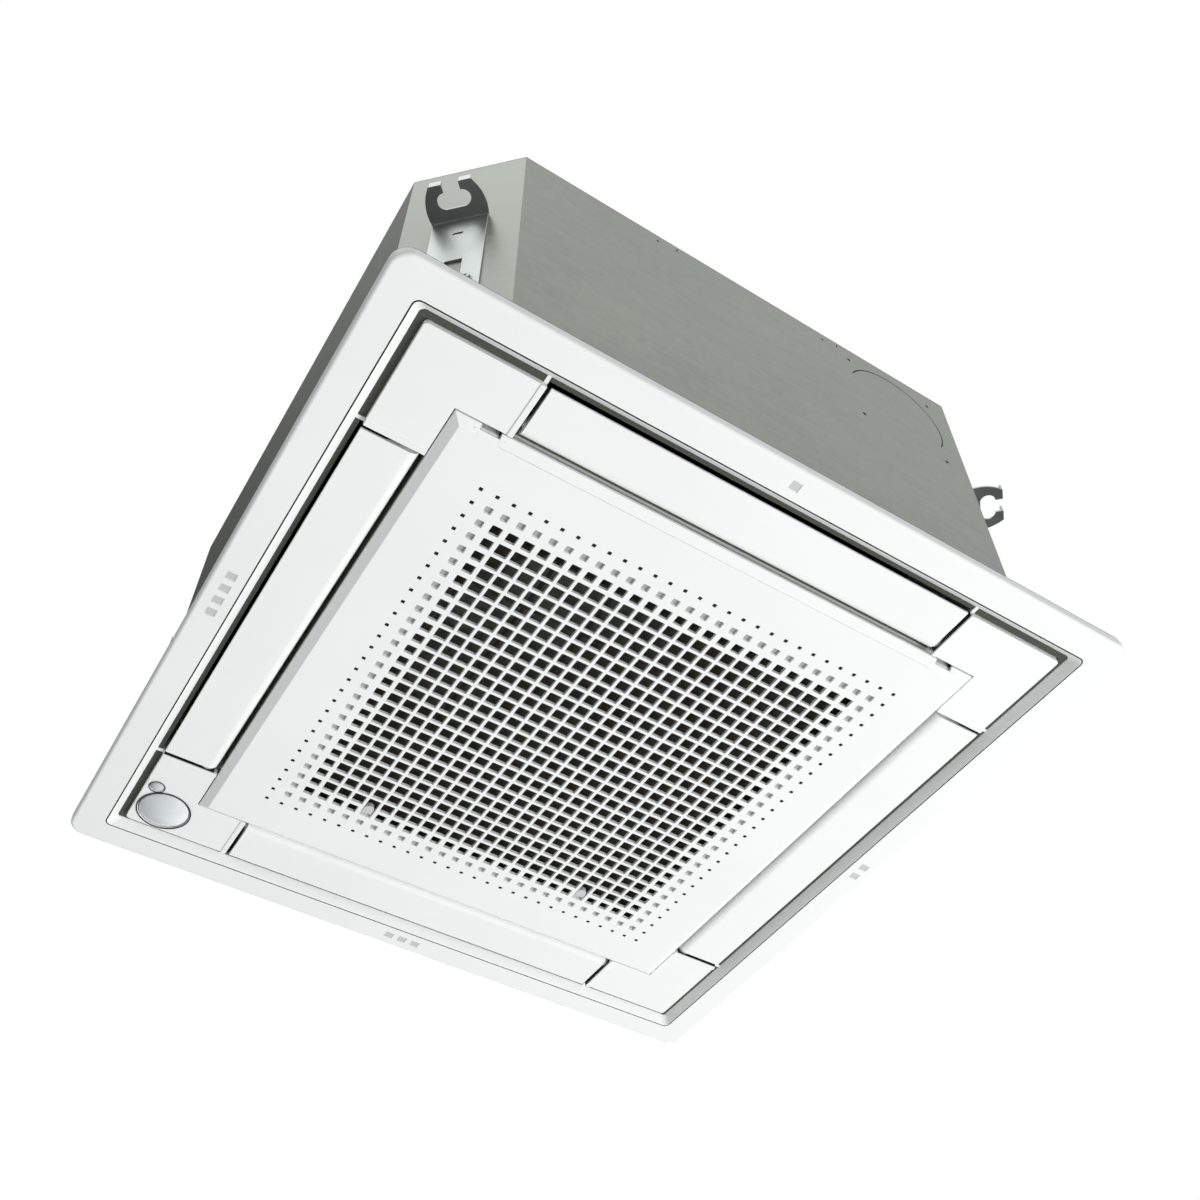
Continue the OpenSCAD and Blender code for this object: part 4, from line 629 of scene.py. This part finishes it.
def hole_tile(name, cells, hole, floor, top):
    """One tile of the perforated plate, round a hole or dimple; cells stacks it along +Y.

    hole is (half width, lowest y, highest y). floor is None where the hole goes through.
    """
    s = sizes()
    pitch, half, side = s.hole_pitch, s.hole_pitch / 2, s.hole_pitch / 4
    far = (cells - 1) * pitch + half
    hx, y0, y1 = hole
    r = min(s.hole_round, hx * 0.3)
    rim = min(s.hole_rim, hx * 0.2)

    def whole(points, x, y):
        """Adds the mirrored points and the two ends of the lowest side to those on the right."""
        return points + [(-px, py) for px, py in reversed(points)] + [(-x, y), (x, y)]

    def border():
        """The tile's outer border, anticlockwise from low right."""
        points = [(half, -half), (half, -side), (half, side)]
        for k in range(1, cells):
            points += [(half, k * pitch + step) for step in (-half, -side, side)]
        return whole(points + [(half, far), (side, far)], side, -half)

    def outline(offset):
        """The hole grown by an offset, with as many points in the same order."""
        a, b0, b1, q = hx + offset, y0 - offset, y1 + offset, r + offset
        d = q * (1 - math.sqrt(0.5))
        points = [(a - d, b0 + d), (a, b0 + q)]
        if cells > 1:
            points += [(a, side), (a, half), (a, pitch - side)]
        return whole(points + [(a, b1 - q), (a - d, b1 - d), (a - q, b1)], a - q, b0)

    bm = bmesh.new()

    def loop(points, z):
        return [bm.verts.new((x, y, z)) for x, y in points]

    low = GRILLE_LOW
    loops = [loop(border(), low), loop(outline(rim), low), loop(outline(rim * 0.3), low + rim * 0.3),
             loop(outline(0), low + rim)]
    if floor is None:
        # The mould's draft lets the walls open a little towards the plate's back.
        loops += [loop(outline(0.12 * MM), top), loop(border(), top)]
    else:
        loops += [loop(outline(-0.15 * MM), floor)]
    bridge(bm, loops)
    if floor is not None:
        bm.faces.new(loops[-1])
        bm.faces.new(list(reversed(loop(border(), top))))
    bmesh.ops.recalc_face_normals(bm, faces=bm.faces)
    low_face = min(bm.faces, key=lambda f: f.calc_center_median().z)
    if low_face.normal.z > 0:
        bmesh.ops.reverse_faces(bm, faces=bm.faces)
    return object_of(name, bm)


def perforation_tree():
    """Tiles on a square grid: dots on the outermost row, then dimples, medium holes and large holes."""
    t = GeometryTree("Intake perforation", Float=["Pitch", "Latch X", "Latch Y", "Weld"], Int=["Rows"],
                     Object=[*HOLE_RINGS, "Latch hole"])
    pitch, rows = t["Pitch"], t["Rows"]
    steps = t.math("SUBTRACT", rows, 1)
    span = t.math("MULTIPLY", pitch, steps)
    grid = t.add("GeometryNodeMeshGrid", {
        "Size X": span, "Size Y": span, "Vertices X": rows, "Vertices Y": rows})
    points = t.add("GeometryNodeMeshToPoints", {"Mesh": grid.outputs["Mesh"]}).outputs["Points"]
    x, y = t.position()
    ax, ay = t.math("ABSOLUTE", x), t.math("ABSOLUTE", y)
    far = t.math("DIVIDE", t.math("MAXIMUM", ax, ay), pitch)
    ring = t.math("SUBTRACT", t.math("DIVIDE", steps, 2), far)
    # Each latch's hole takes the place of two holes, one above the other.
    near = t.math("MULTIPLY", pitch, 0.4)
    column = t.math("COMPARE", ax, t["Latch X"], near)
    low_row = t.math("COMPARE", y, t["Latch Y"], near)
    high_row = t.math("COMPARE", y, t.math("ADD", t["Latch Y"], pitch), near)
    latch = t.math("MULTIPLY", column, t.math("ADD", low_row, high_row))
    plain = t.math("SUBTRACT", 1.0, latch)
    chosen = {}
    for name, (lowest, highest) in HOLE_RINGS.items():
        above, below = t.math("GREATER_THAN", ring, lowest), t.math("LESS_THAN", ring, highest)
        chosen[name] = t.math("MULTIPLY", t.math("MULTIPLY", above, below), plain)
    chosen["Latch hole"] = t.math("MULTIPLY", column, low_row)
    field = t.joined(t.copies(points, t.object_in(name), Selection=here) for name, here in chosen.items())
    weld = t.add("GeometryNodeMergeByDistance", {"Geometry": t.real(field), "Distance": t["Weld"]})
    return t.closed(weld.outputs["Geometry"])


def grille_border(field):
    """The grille node outside its field of holes: plain border, sloping rim, wall and hinge arms."""
    bm = merged("intake_grille")
    for normal in (Vector((-1, 0, 0)), Vector((1, 0, 0)), Vector((0, -1, 0)), Vector((0, 1, 0))):
        bmesh.ops.bisect_plane(
            bm, geom=bm.verts[:] + bm.edges[:] + bm.faces[:], dist=0.001 * MM, plane_co=normal * field,
            plane_no=normal)
    edge = field - 0.01 * MM
    inner = [face for face in bm.faces if max(map(abs, face.calc_center_median().xy)) < edge]
    bmesh.ops.delete(bm, geom=inner, context="FACES")
    return round_edges(object_of("grille_border", bm), 0.45 * MM, angle=24)


def slit_skins():
    """Skins close the lower end of the two hinge slits, clear of the fingers at every angle."""
    bm = bmesh.new()
    for side in (-1, 1):
        ends = [[bm.verts.new((side * x * MM, y * MM, GRILLE_LOW + z * MM)) for y, z in SKIN_OUTLINE]
                for x in SKIN_ENDS]
        bridge(bm, ends)
        for end in ends:
            bm.faces.new(end)
    return object_of("hinge_slit_skins", bm, outward=True)


class CASSETTE_OT_grille(bpy.types.Operator):
    """Intake grille with its field of graded square holes, and its hinge pins"""
    bl_idname = "cassette.grille"
    bl_label = "Intake grille"

    def execute(self, context):
        s = sizes()
        top = GRILLE_LOW + s.plate_thickness
        floor = GRILLE_LOW + s.dimple_depth
        body, slot = BODY_OF["intake_grille"], SLOT_OF["intake_grille"]
        tiles = {}
        for name, side, bottom in (("Dot", s.hole_dot, floor), ("Dimple", s.hole_dimple, floor),
                                   ("Medium", s.hole_medium, None), ("Large", s.hole_large, None)):
            half = side / 2
            tiles[name] = hole_tile("tile_" + name.lower(), 1, (half, -half, half), bottom, top)
        half = s.hole_large / 2
        reach = s.hole_pitch + s.hole_medium / 2
        tiles["Latch hole"] = hole_tile("tile_latch", 2, (half, -half, reach), None, top)
        tree = perforation_tree()
        values = {"Pitch": s.hole_pitch, "Rows": s.hole_rows, "Latch X": s.latch_place,
                  "Latch Y": ((s.hole_rows - 1) / 2 - LATCH_ROW) * s.hole_pitch, "Weld": 0.01 * MM,
                  "Material": finish_for(slot), **tiles}
        field = grown("intake_grille_face", tree, values)
        # Painted shade: a dark plate sunk in each dot and a grey plate on each dimple's floor stand in for
        # the shade in these pockets.
        blank = object_of("tile_blank", bmesh.new())
        shade_floors = (("Dot", s.hole_dot - 0.1 * MM, GRILLE_LOW + 0.5 * MM, colours().dot_black),
                   ("Dimple", s.hole_dimple - 0.3 * MM, floor - 0.05 * MM, colours().dimple_grey))
        for name, side, height, colour in shade_floors:
            bm = bmesh.new()
            bmesh.ops.create_grid(bm, x_segments=1, y_segments=1, size=side / 2)
            bmesh.ops.translate(bm, verts=bm.verts, vec=(0, 0, height))
            bmesh.ops.reverse_faces(bm, faces=bm.faces)
            plate = object_of("tile_plate", bm)
            finish = moulded_abs(f"{name} floor, moulded", colour, 0.6)
            few = {**values, **dict.fromkeys(tiles, blank), name: plate, "Material": finish}
            extra(grown(f"grille_{name.lower()}_floors", tree, few), finish, slot, body)
            bpy.data.objects.remove(plate)
        border = grille_border(s.hole_pitch * s.hole_rows / 2)
        bm = bmesh.new()
        for part in (field, border):
            bm.from_mesh(part.data)
        bm.to_mesh(field.data)
        bm.free()
        for spare in (*tiles.values(), blank, border):
            bpy.data.objects.remove(spare)
        adopt(shade(field, 34), "intake_grille")
        extra(slit_skins(), finish_for(slot), slot, body)
        smoothed("grille_pins")
        return {"FINISHED"}


def thread_tree():
    """Two crossing layers of straight threads over a square net."""
    t = GeometryTree("Filter threads", Float=["Half width", "Pitch", "Thread", "Low"])
    half, pitch, thread = t["Half width"], t["Pitch"], t["Thread"]
    length = t.math("MULTIPLY", half, 2.0)
    count = t.math("ADD", t.math("DIVIDE", length, pitch), 1.0)
    whole = t.add("FunctionNodeFloatToInt", {"Float": count}, rounding_mode="ROUND").outputs["Integer"]
    back = t.math("MULTIPLY", half, -1.0)
    layers = []
    for along, across, level in (("X", "Y", 0.5), ("Y", "X", 1.0)):
        size = t.vector(**{along: length, across: thread, "Z": t.math("MULTIPLY", thread, 0.6)})
        bar = t.add("GeometryNodeMeshCube", {"Size": size}).outputs["Mesh"]
        height = t.math("ADD", t["Low"], t.math("MULTIPLY", thread, level))
        row = t.add("GeometryNodeMeshLine", {
            "Count": whole, "Start Location": t.vector(**{across: back, "Z": height}),
            "Offset": t.vector(**{across: pitch})}).outputs["Mesh"]
        layers.append(t.copies(row, bar))
    return t.closed(t.joined(layers))


class CASSETTE_OT_filter(bpy.types.Operator):
    """Air filter lattice and its woven mesh"""
    bl_idname = "cassette.filter"
    bl_label = "Air filter"

    def execute(self, context):
        s = sizes()
        low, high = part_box("filter_net")
        net = grown("filter_mesh", thread_tree(), {
            "Half width": high[0] - s.thread_width / 2, "Pitch": s.thread_pitch, "Thread": s.thread_width,
            "Low": low[2], "Material": finish_for("filter_mesh")})
        adopt(net, "filter_net")
        eased(["air_filter"], 0.3 * MM)
        return {"FINISHED"}


class CASSETTE_OT_latches(bpy.types.Operator):
    """Two grille latches"""
    bl_idname = "cassette.latches"
    bl_label = "Latches"

    def execute(self, context):
        eased(numbered("latch", 2), 0.6 * MM, 3)
        return {"FINISHED"}


# Panel

# Boxes on the -Y side from lowest to highest corner, in millimetres, with heights over the panel's lower
# face. The outlet has its ends at END and its walls at OUTER and INNER.
END, OUTER, INNER, THICK = 182.7, 277.7, 224.3, 0.3
LININGS = {
    # Foam on the outlet's four walls, from where the flap and the grille's rim leave room.
    "outlet_linings": [
        ((-END, -OUTER, 11.9), (END, THICK - OUTER, 40)),
        ((-END, -INNER - THICK, 12.6), (END, -INNER, 40)),
        ((-END, THICK - OUTER, 8), (THICK - END, -INNER - 2.5, 40)),
        ((END - THICK, THICK - OUTER, 8), (END, -INNER - 2.5, 40))],
    # Painted shade: dark strips below that foam beside the flap's ends, short of the arc of the grille's
    # rim, stand in for the shade in the flap's end gaps.
    "flap_end_linings": [
        ((-END, -271.5, 3.2), (THICK - END, -229.3, 7.9)),
        ((END - THICK, -271.5, 3.2), (END, -229.3, 7.9))],
    # Painted shade: dark foam strips behind the grooves, along the flap's outer edge and round a corner
    # cover, stand in for the shade in the grooves.
    "groove_linings": [
        ((THICK - END, -OUTER, 7.4), (END - THICK, -274.2, 11.9)),
        ((183.6, -OUTER, 7.4), (OUTER, -272.4, 11.9)),
        ((272.4, -272.4, 7.4), (OUTER, -183.6, 11.9))],
}


def bars(name):
    """Linings of one kind, repeated on all four sides of the panel."""
    bm = bmesh.new()
    lift = Vector((0, 0, PANEL_LOW))
    for k in range(4):
        for low, high in LININGS[name]:
            block(bm, Vector(low) * MM + lift, Vector(high) * MM + lift, quarter(k))
    return object_of(name, bm)


def outlet_marks():
    """Painted shade: grey plates on the floors of the flange's sunk squares, one on -Y, one more on each
    side anticlockwise.
    """
    side, pitch, out, height, thickness = 7.3 * MM, 13 * MM, 296.5 * MM, PANEL_LOW + 0.35 * MM, 0.06 * MM
    size = Vector((side, side, thickness))
    bm = bmesh.new()
    for k in range(4):
        for i in range(k + 1):
            middle = Vector(((i - k / 2) * pitch, -out, height))
            block(bm, middle - size / 2, middle + size / 2, quarter(k))
    return object_of("outlet_mark_floors", bm)


def flange():
    """The panel's flange with its soft outer lower edge."""
    bm = merged("panel_flange")
    low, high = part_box("panel_flange")
    near, corner = 0.02 * MM, 14.5 * MM
    weight = bm.edges.layers.float.new("bevel_weight_edge")
    for edge in bm.edges:
        outside = all(
            abs(p.z - low[2]) < near and (
                max(abs(p.x), abs(p.y)) > high[0] - near or min(abs(p.x), abs(p.y)) > high[0] - corner)
            for p in (vert.co for vert in edge.verts))
        if outside and len(edge.link_faces) == 2 and edge.calc_face_angle(0) > math.radians(40):
            edge[weight] = 1
    obj = object_of("panel_flange_eased", bm)
    round_edges(obj, sizes().flange_round, 6, limit="WEIGHT")
    round_edges(obj, sizes().edge_round, angle=40)
    return shade(obj)


class CASSETTE_OT_panel(bpy.types.Operator):
    """Panel flange with its soft outer edge, frame, corner covers, seals and linings, with dark strips and
    plates of painted shade in its seams, grooves and marks
    """
    bl_idname = "cassette.panel"
    bl_label = "Decoration panel"

    def execute(self, context):
        c, p = colours(), PANEL_LOW
        adopt(flange(), "panel_flange")
        eased(["panel_frame"], 0.22 * MM)
        eased(numbered("corner_cover"), sizes().edge_round)
        paint("ceiling_seal", "duct_seals")
        seam = rubber_skin("Seam gasket, extruded", c.seam_black, 0.8 * MM)
        lining = rubber_skin("Outlet lining foam, cut", c.outlet_grey, 1.6 * MM)
        groove_shade_foam = rubber_skin("Groove lining foam, cut", c.groove_grey, 1.6 * MM)
        # The frame's lower rim ends 0.6 mm inside the flange's opening.
        rim = max(v.co.x for v in frame["nodes"]["panel_frame"].data.vertices if v.co.z < p + 0.1 * MM)
        # Painted shadow: a dark ring in the seam between flange and frame, and a dark tape on the flange's
        # outer lip, stand in for the shadow lines there.
        edge, _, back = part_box("panel_flange")[1]
        for name, half, r, width, low, high in (
                ("panel_seam_gasket", rim + 0.6 * MM, 5.6 * MM, 1 * MM, p - 0.05 * MM, p + 1 * MM),
                ("flange_tape", edge - 0.4 * MM, 13.6 * MM, 2 * MM, back, back + 0.9 * MM)):
            extra(square_ring(name, half, r, width, low, high), seam, "seal_foam")
        extra(bars("outlet_linings"), lining, "seal_foam")
        # Painted shade: the flap end strips take the dark seam colour.
        extra(bars("flap_end_linings"), seam, "seal_foam")
        # Painted shade: grey plates in the sunk outlet marks.
        extra(outlet_marks(), moulded_abs("Mark floor, moulded", c.mark_grey, 0.5), SLOT_OF["panel_flange"])
        extra(bars("groove_linings"), groove_shade_foam, "seal_foam")
        return {"FINISHED"}


class CASSETTE_OT_flaps(bpy.types.Operator):
    """Four air flaps, their motors and end bushes"""
    bl_idname = "cassette.flaps"
    bl_label = "Air flaps"

    def execute(self, context):
        for flap, motor in zip(numbered("flap"), numbered("flap_motor")):
            eased([flap], 0.5 * MM, 3, angle=24)
            eased([motor], 0.4 * MM)
        paint("flap_bushes")
        return {"FINISHED"}


class CASSETTE_OT_sensor(bpy.types.Operator):
    """Sensor dome and spot in the corner cover"""
    bl_idname = "cassette.sensor"
    bl_label = "Sensors"

    def execute(self, context):
        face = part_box("corner_cover_1")[0][2]
        # Painted shadow: a dark ring round the dome and the spot stands in for the shadow line in the
        # cover's seam.
        seam = rubber_skin("Sensor seam, moulded", colours().seam_black, 0.8 * MM)
        for node, width in (("sensor_dome", 0.7 * MM), ("sensor_spot", 0.45 * MM)):
            eased([node], 0.3 * MM)
            low, high = (Vector(corner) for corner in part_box(node))
            middle, r = (low + high) / 2, (high.x - low.x) / 2
            bottom, top = face - 0.12 * MM, face + 0.2 * MM
            ring = round_ring(node + "_seam", middle, r - 0.2 * MM, r + width, bottom, top)
            extra(ring, seam, "seal_foam")
        return {"FINISHED"}


class CASSETTE_OT_casing(bpy.types.Operator):
    """Folded casing, top plate and foam liner"""
    bl_idname = "cassette.casing"
    bl_label = "Casing"

    def execute(self, context):
        eased(("casing_wrap", "casing_top"), sizes().sheet_round)
        smoothed("casing_liner")
        return {"FINISHED"}


# Brackets

# Radius and height along the washer and shank, and of the head's hexagons, in millimetres.
SCREW_OUTLINE = (
    (0, 0.9), (3.9, 0.9), (4.6, 0.7), (4.95, 0.3), (4.95, 0), (2.4, 0), (2.4, -8.6), (1.6, -9), (0, -9))
SCREW_HEAD = ((4.2, 0.8), (4.2, 2.6), (3.7, 3.0), (1.8, 3.0), (0.9, 2.2))


def screw_tile():
    """A hexagon-head screw with its washer face at z 0, head up and shank down."""
    bm = bmesh.new()
    bridge(bm, [circle(bm, r * MM, z * MM, 24) for r, z in SCREW_OUTLINE])
    head = [circle(bm, r * MM, z * MM, 6) for r, z in SCREW_HEAD]
    bridge(bm, head)
    bm.faces.new(head[-1])
    return object_of("tile_screw", bm, outward=True)


def aimed_tree():
    """One piece on every point of the base, its Z axis along the point's aim."""
    t = GeometryTree("Bracket screws", Object=["Piece"])
    aim = t.add("GeometryNodeInputNamedAttribute", {"Name": "aim"}, data_type="FLOAT_VECTOR")
    turn = t.add("FunctionNodeAlignRotationToVector", {"Vector": aim.outputs["Attribute"]}, axis="Z")
    return t.closed(t.copies(t["Geometry"], t.object_in("Piece"), Rotation=turn.outputs["Rotation"]))


def bracket_screws():
    """The brackets' screws, one for each solid of their node."""
    base = bmesh.new()
    aim = base.verts.layers.float_vector.new("aim")
    for points in islands("bracket_screws"):
        middle = sum(points, Vector()) / len(points)
        out = Vector((math.copysign(math.sqrt(0.5), middle.x), math.copysign(math.sqrt(0.5), middle.y), 0))
        reach = max(point.dot(out) for point in points)
        heights = [point.z for point in points]
        across = middle - out * middle.dot(out)
        # The washer's face is 3 mm below the head's end.
        place = Vector((across.x, across.y, (max(heights) + min(heights)) / 2)) + out * (reach - 3 * MM)
        base.verts.new(place)[aim] = out
    tile = screw_tile()
    screws = grown("bracket_screws_set", aimed_tree(), {
        "Piece": tile, "Material": finish_for(SLOT_OF["bracket_screws"])}, base)
    bpy.data.objects.remove(tile)
    adopt(shade(screws), "bracket_screws")


class CASSETTE_OT_brackets(bpy.types.Operator):
    """Four suspension brackets and their screws"""
    bl_idname = "cassette.brackets"
    bl_label = "Suspension brackets"

    def execute(self, context):
        eased(numbered("hanger_bracket"), 0.5 * MM, 3)
        bracket_screws()
        return {"FINISHED"}


# Inner parts

def fin_tree():
    """Fins on end along a square with cut corners, left out where the coil's ends leave a gap."""
    t = GeometryTree("Coil fins", Float=[
        "Half", "Corner", "Pitch", "Depth", "Height", "Low", "Fin", "Gap from"])
    side = t.math("MULTIPLY", t["Half"], 2.0)
    square = t.add("GeometryNodeCurvePrimitiveQuadrilateral", {"Width": side, "Height": side})
    ring = t.add("GeometryNodeFilletCurve", {
        "Curve": square.outputs["Curve"], "Radius": t["Corner"]}, mode="POLY")
    points = t.add("GeometryNodeCurveToPoints", {
        "Curve": ring.outputs["Curve"], "Length": t["Pitch"]}, mode="LENGTH").outputs
    keep = t.math("LESS_THAN", t.math("MINIMUM", *t.position()), t["Gap from"])
    thin = t.vector(X=t["Depth"], Y=t["Height"], Z=t["Fin"])
    fin = t.add("GeometryNodeMeshCube", {"Size": thin}).outputs["Mesh"]
    placed = t.copies(points["Points"], fin, Selection=keep, Rotation=points["Rotation"])
    middle = t.math("ADD", t["Low"], t.math("MULTIPLY", t["Height"], 0.5))
    raised = t.add("GeometryNodeTransform", {"Geometry": placed, "Translation": t.vector(Z=middle)})
    return t.closed(raised.outputs["Geometry"])


def coil():
    """The finned ring, as separate fins on the tubes' runs."""
    s = sizes()
    low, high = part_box("coil_fins")
    half = s.coil_depth / 2
    fins = grown("coil_fins_set", fin_tree(), {
        "Half": high[0] - half, "Corner": s.coil_corner - half, "Pitch": s.fin_pitch,
        "Depth": s.coil_depth, "Height": high[2] - low[2], "Low": low[2], "Fin": s.fin_thickness,
        "Gap from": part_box("coil_end_plates")[0][1], "Material": finish_for(SLOT_OF["coil_fins"])})
    adopt(fins, "coil_fins")


class CASSETTE_OT_inside(bpy.types.Operator):
    """Fan, motor, coil, pipes, drain parts and controls"""
    bl_idname = "cassette.inside"
    bl_label = "Inner parts"

    def execute(self, context):
        edge = sizes().sheet_round
        eased(("control_box", "control_lid", "pipe_cover", "coil_end_plates"), edge * 0.7)
        eased(("drain_pump", "gas_flare_nut", "liquid_flare_nut", "fan_nut", "drain_socket",
               "wire_grommet"), edge)
        smoothed("bell_mouth", "fan_wheel", "fan_motor", "fan_shaft", "motor_bushes", "motor_nuts",
                 "coil_tubes", "gas_pipe", "liquid_pipe", "pump_impeller", "float_switch", "float_ring",
                 "drain_hose", "panel_screws")
        coil()
        paint("drain_pan", "circuit_board")
        return {"FINISHED"}


# Stage

# Brightness of the surround from its -X +Y side (0) to its +X -Y side (1).
SURROUND_TONES = (
    (0.02, 0.05), (0.2, 0.06), (0.34, 0.8), (0.45, 1.3), (0.62, 0.95), (0.8, 0.95), (0.98, 0.8))
# Brightness of the soft light that falls on dull surfaces.
SOFT_LIGHT = 0.53
FLOOR_HEIGHT, FLOOR_HALF = -5.5, 14
# As solved from the photograph.
CAMERA_PLACE = (-0.3977, -0.6701, -0.9736)
CAMERA_RIGHT = Vector((0.84651, -0.53235, -0.0053))
CAMERA_DOWN = Vector((0.40864, 0.6561, -0.63447))
CAMERA_AHEAD = Vector((0.34124, 0.53492, 0.77293))
# Focal length and width of the frame in pixels, and of the sensor in millimetres.
FOCAL_PX, FRAME_PX, SENSOR = 1355.4, 1200, 36


def backdrop_world():
    """White for the camera, a graded surround for reflections and a soft even light for the rest."""
    world = bpy.data.worlds.new("Studio surround")
    world.use_nodes = True
    tree = world.node_tree
    tree.nodes.clear()

    def background(colour, strength):
        return add(tree, "ShaderNodeBackground", {"Color": colour, "Strength": strength}).outputs[0]

    def blend(share, first, second):
        return add(tree, "ShaderNodeMixShader", {0: share, 1: first, 2: second}).outputs[0]

    rays = add(tree, "ShaderNodeLightPath").outputs
    # Sheet metal mirrors the surround: a dark wall to -X +Y, a bright one to -X -Y, a grey one to +X -Y.
    toward = add(tree, "ShaderNodeTexCoord").outputs["Generated"]
    across = add(tree, "ShaderNodeVectorMath", {
        0: toward, 1: (0.7071, -0.7071, 0)}, operation="DOT_PRODUCT")
    turn = add(tree, "ShaderNodeMapRange", {"Value": across.outputs["Value"], "From Min": -1})
    walls = add(tree, "ShaderNodeValToRGB", {"Fac": turn.outputs["Result"]})
    stops = walls.color_ramp.elements
    for position, tone in SURROUND_TONES:
        stops.new(position).color = (tone, tone * 1.01, tone * 0.99, 1)
    stops.remove(stops[0])
    stops.remove(stops[-1])
    # The room darkens downwards.
    rise = add(tree, "ShaderNodeSeparateXYZ", {"Vector": toward}).outputs["Z"]
    level = add(tree, "ShaderNodeMapRange", {
        "Value": rise, "From Min": -0.7, "From Max": 0.1, "To Min": 0.05}).outputs["Result"]
    soft = background((*linear("#F3F6FA"), 1), SOFT_LIGHT)
    lit = blend(rays["Is Glossy Ray"], soft, background(walls.outputs["Color"], level))
    straight = add(tree, "ShaderNodeMath", {
        0: rays["Is Camera Ray"], 1: rays["Is Transmission Ray"]}, operation="MAXIMUM").outputs["Value"]
    add(tree, "ShaderNodeOutputWorld", {"Surface": blend(straight, lit, background((1, 1, 1, 1), 1))})
    bpy.context.scene.world = world


def lamp(name, place, target, size, power, mirrored=True):
    """A square soft box that faces its target and isn't seen by the camera."""
    data = bpy.data.lights.new(name, "AREA")
    data.shape = "SQUARE"
    data.size = size
    data.energy = power
    obj = bpy.data.objects.new(name, data)
    bpy.context.scene.collection.objects.link(obj)
    obj.location = place
    obj.rotation_mode = "QUATERNION"
    obj.rotation_quaternion = (Vector(target) - Vector(place)).to_track_quat("-Z", "Y")
    obj.visible_camera = False
    obj.visible_glossy = mirrored


class CASSETTE_OT_stage(bpy.types.Operator):
    """Pale floor far below, soft lamps, white surround and the photograph's camera"""
    bl_idname = "cassette.stage"
    bl_label = "Stage and camera"

    def execute(self, context):
        scene = bpy.context.scene
        scene.view_settings.view_transform = "Standard"
        bm = bmesh.new()
        bmesh.ops.create_grid(bm, x_segments=2, y_segments=2, size=FLOOR_HALF)
        bmesh.ops.translate(bm, verts=bm.verts, vec=(0, 0, FLOOR_HEIGHT))
        floor = object_of("studio_floor", bm)
        # Rolled paint, a little uneven over 800 mm.
        finish = Finish("Painted studio floor", colours().floor_white, 0.8)
        finish.vary(finish.noise(800 * MM, 3), 0.99, 1.01)
        floor.data.materials.append(finish.material)
        floor.visible_glossy = False
        backdrop_world()
        # The key comes from below on the +X -Y side, as in the photograph, so faces to -X stay darker.
        lamp("Key soft box", (2.2, -0.93, -2.85), (0, 0, -0.2), size=1.9, power=116, mirrored=False)
        # A high box is mirrored by the -X -Y chamfer and lights the top.
        lamp("High soft box", (-1.0, -0.45, 2.1), (0, 0, 0), size=1.4, power=5)
        lamp("Back fill", (0.9, 1.6, 0.5), (0, 0, 0), size=1.2, power=9)
        data = bpy.data.cameras.new("Photo camera")
        data.sensor_width = SENSOR
        data.lens = SENSOR * FOCAL_PX / FRAME_PX
        data.clip_end = 50
        camera = bpy.data.objects.new("Photo camera", data)
        scene.collection.objects.link(camera)
        turn = Matrix((CAMERA_RIGHT, -CAMERA_DOWN, -CAMERA_AHEAD)).transposed().to_4x4()
        camera.matrix_world = Matrix.Translation(CAMERA_PLACE) @ turn
        scene.camera = camera
        return {"FINISHED"}


OPERATORS = (
    CASSETTE_OT_stage, CASSETTE_OT_casing, CASSETTE_OT_brackets, CASSETTE_OT_panel, CASSETTE_OT_flaps,
    CASSETTE_OT_sensor, CASSETTE_OT_grille, CASSETTE_OT_filter, CASSETTE_OT_latches, CASSETTE_OT_inside)


class CASSETTE_PT_sidebar(bpy.types.Panel):
    """Sizes, colours and pieces of the cassette"""
    bl_idname = "CASSETTE_PT_sidebar"
    bl_label = "Ceiling cassette"
    bl_space_type = "VIEW_3D"
    bl_region_type = "UI"
    bl_category = "Cassette"

    def draw(self, context):
        layout = self.layout
        for group in (context.scene.cassette_sizes, context.scene.cassette_colours):
            column = layout.column(align=True)
            for key in group.__annotations__:
                column.prop(group, key)
        column = layout.column(align=True)
        for operator in OPERATORS:
            column.operator(operator.bl_idname)


CLASSES = (CassetteColours, CassetteSizes, *OPERATORS, CASSETTE_PT_sidebar)


def register():
    for cls in CLASSES:
        bpy.utils.register_class(cls)
    bpy.types.Scene.cassette_colours = bpy.props.PointerProperty(type=CassetteColours)
    bpy.types.Scene.cassette_sizes = bpy.props.PointerProperty(type=CassetteSizes)


def unregister():
    del bpy.types.Scene.cassette_sizes
    del bpy.types.Scene.cassette_colours
    for cls in reversed(CLASSES):
        bpy.utils.unregister_class(cls)


def main():
    register()
    for operator in OPERATORS:
        group, name = operator.bl_idname.split(".")
        getattr(getattr(bpy.ops, group), name)()


if __name__ == "__main__":
    main()
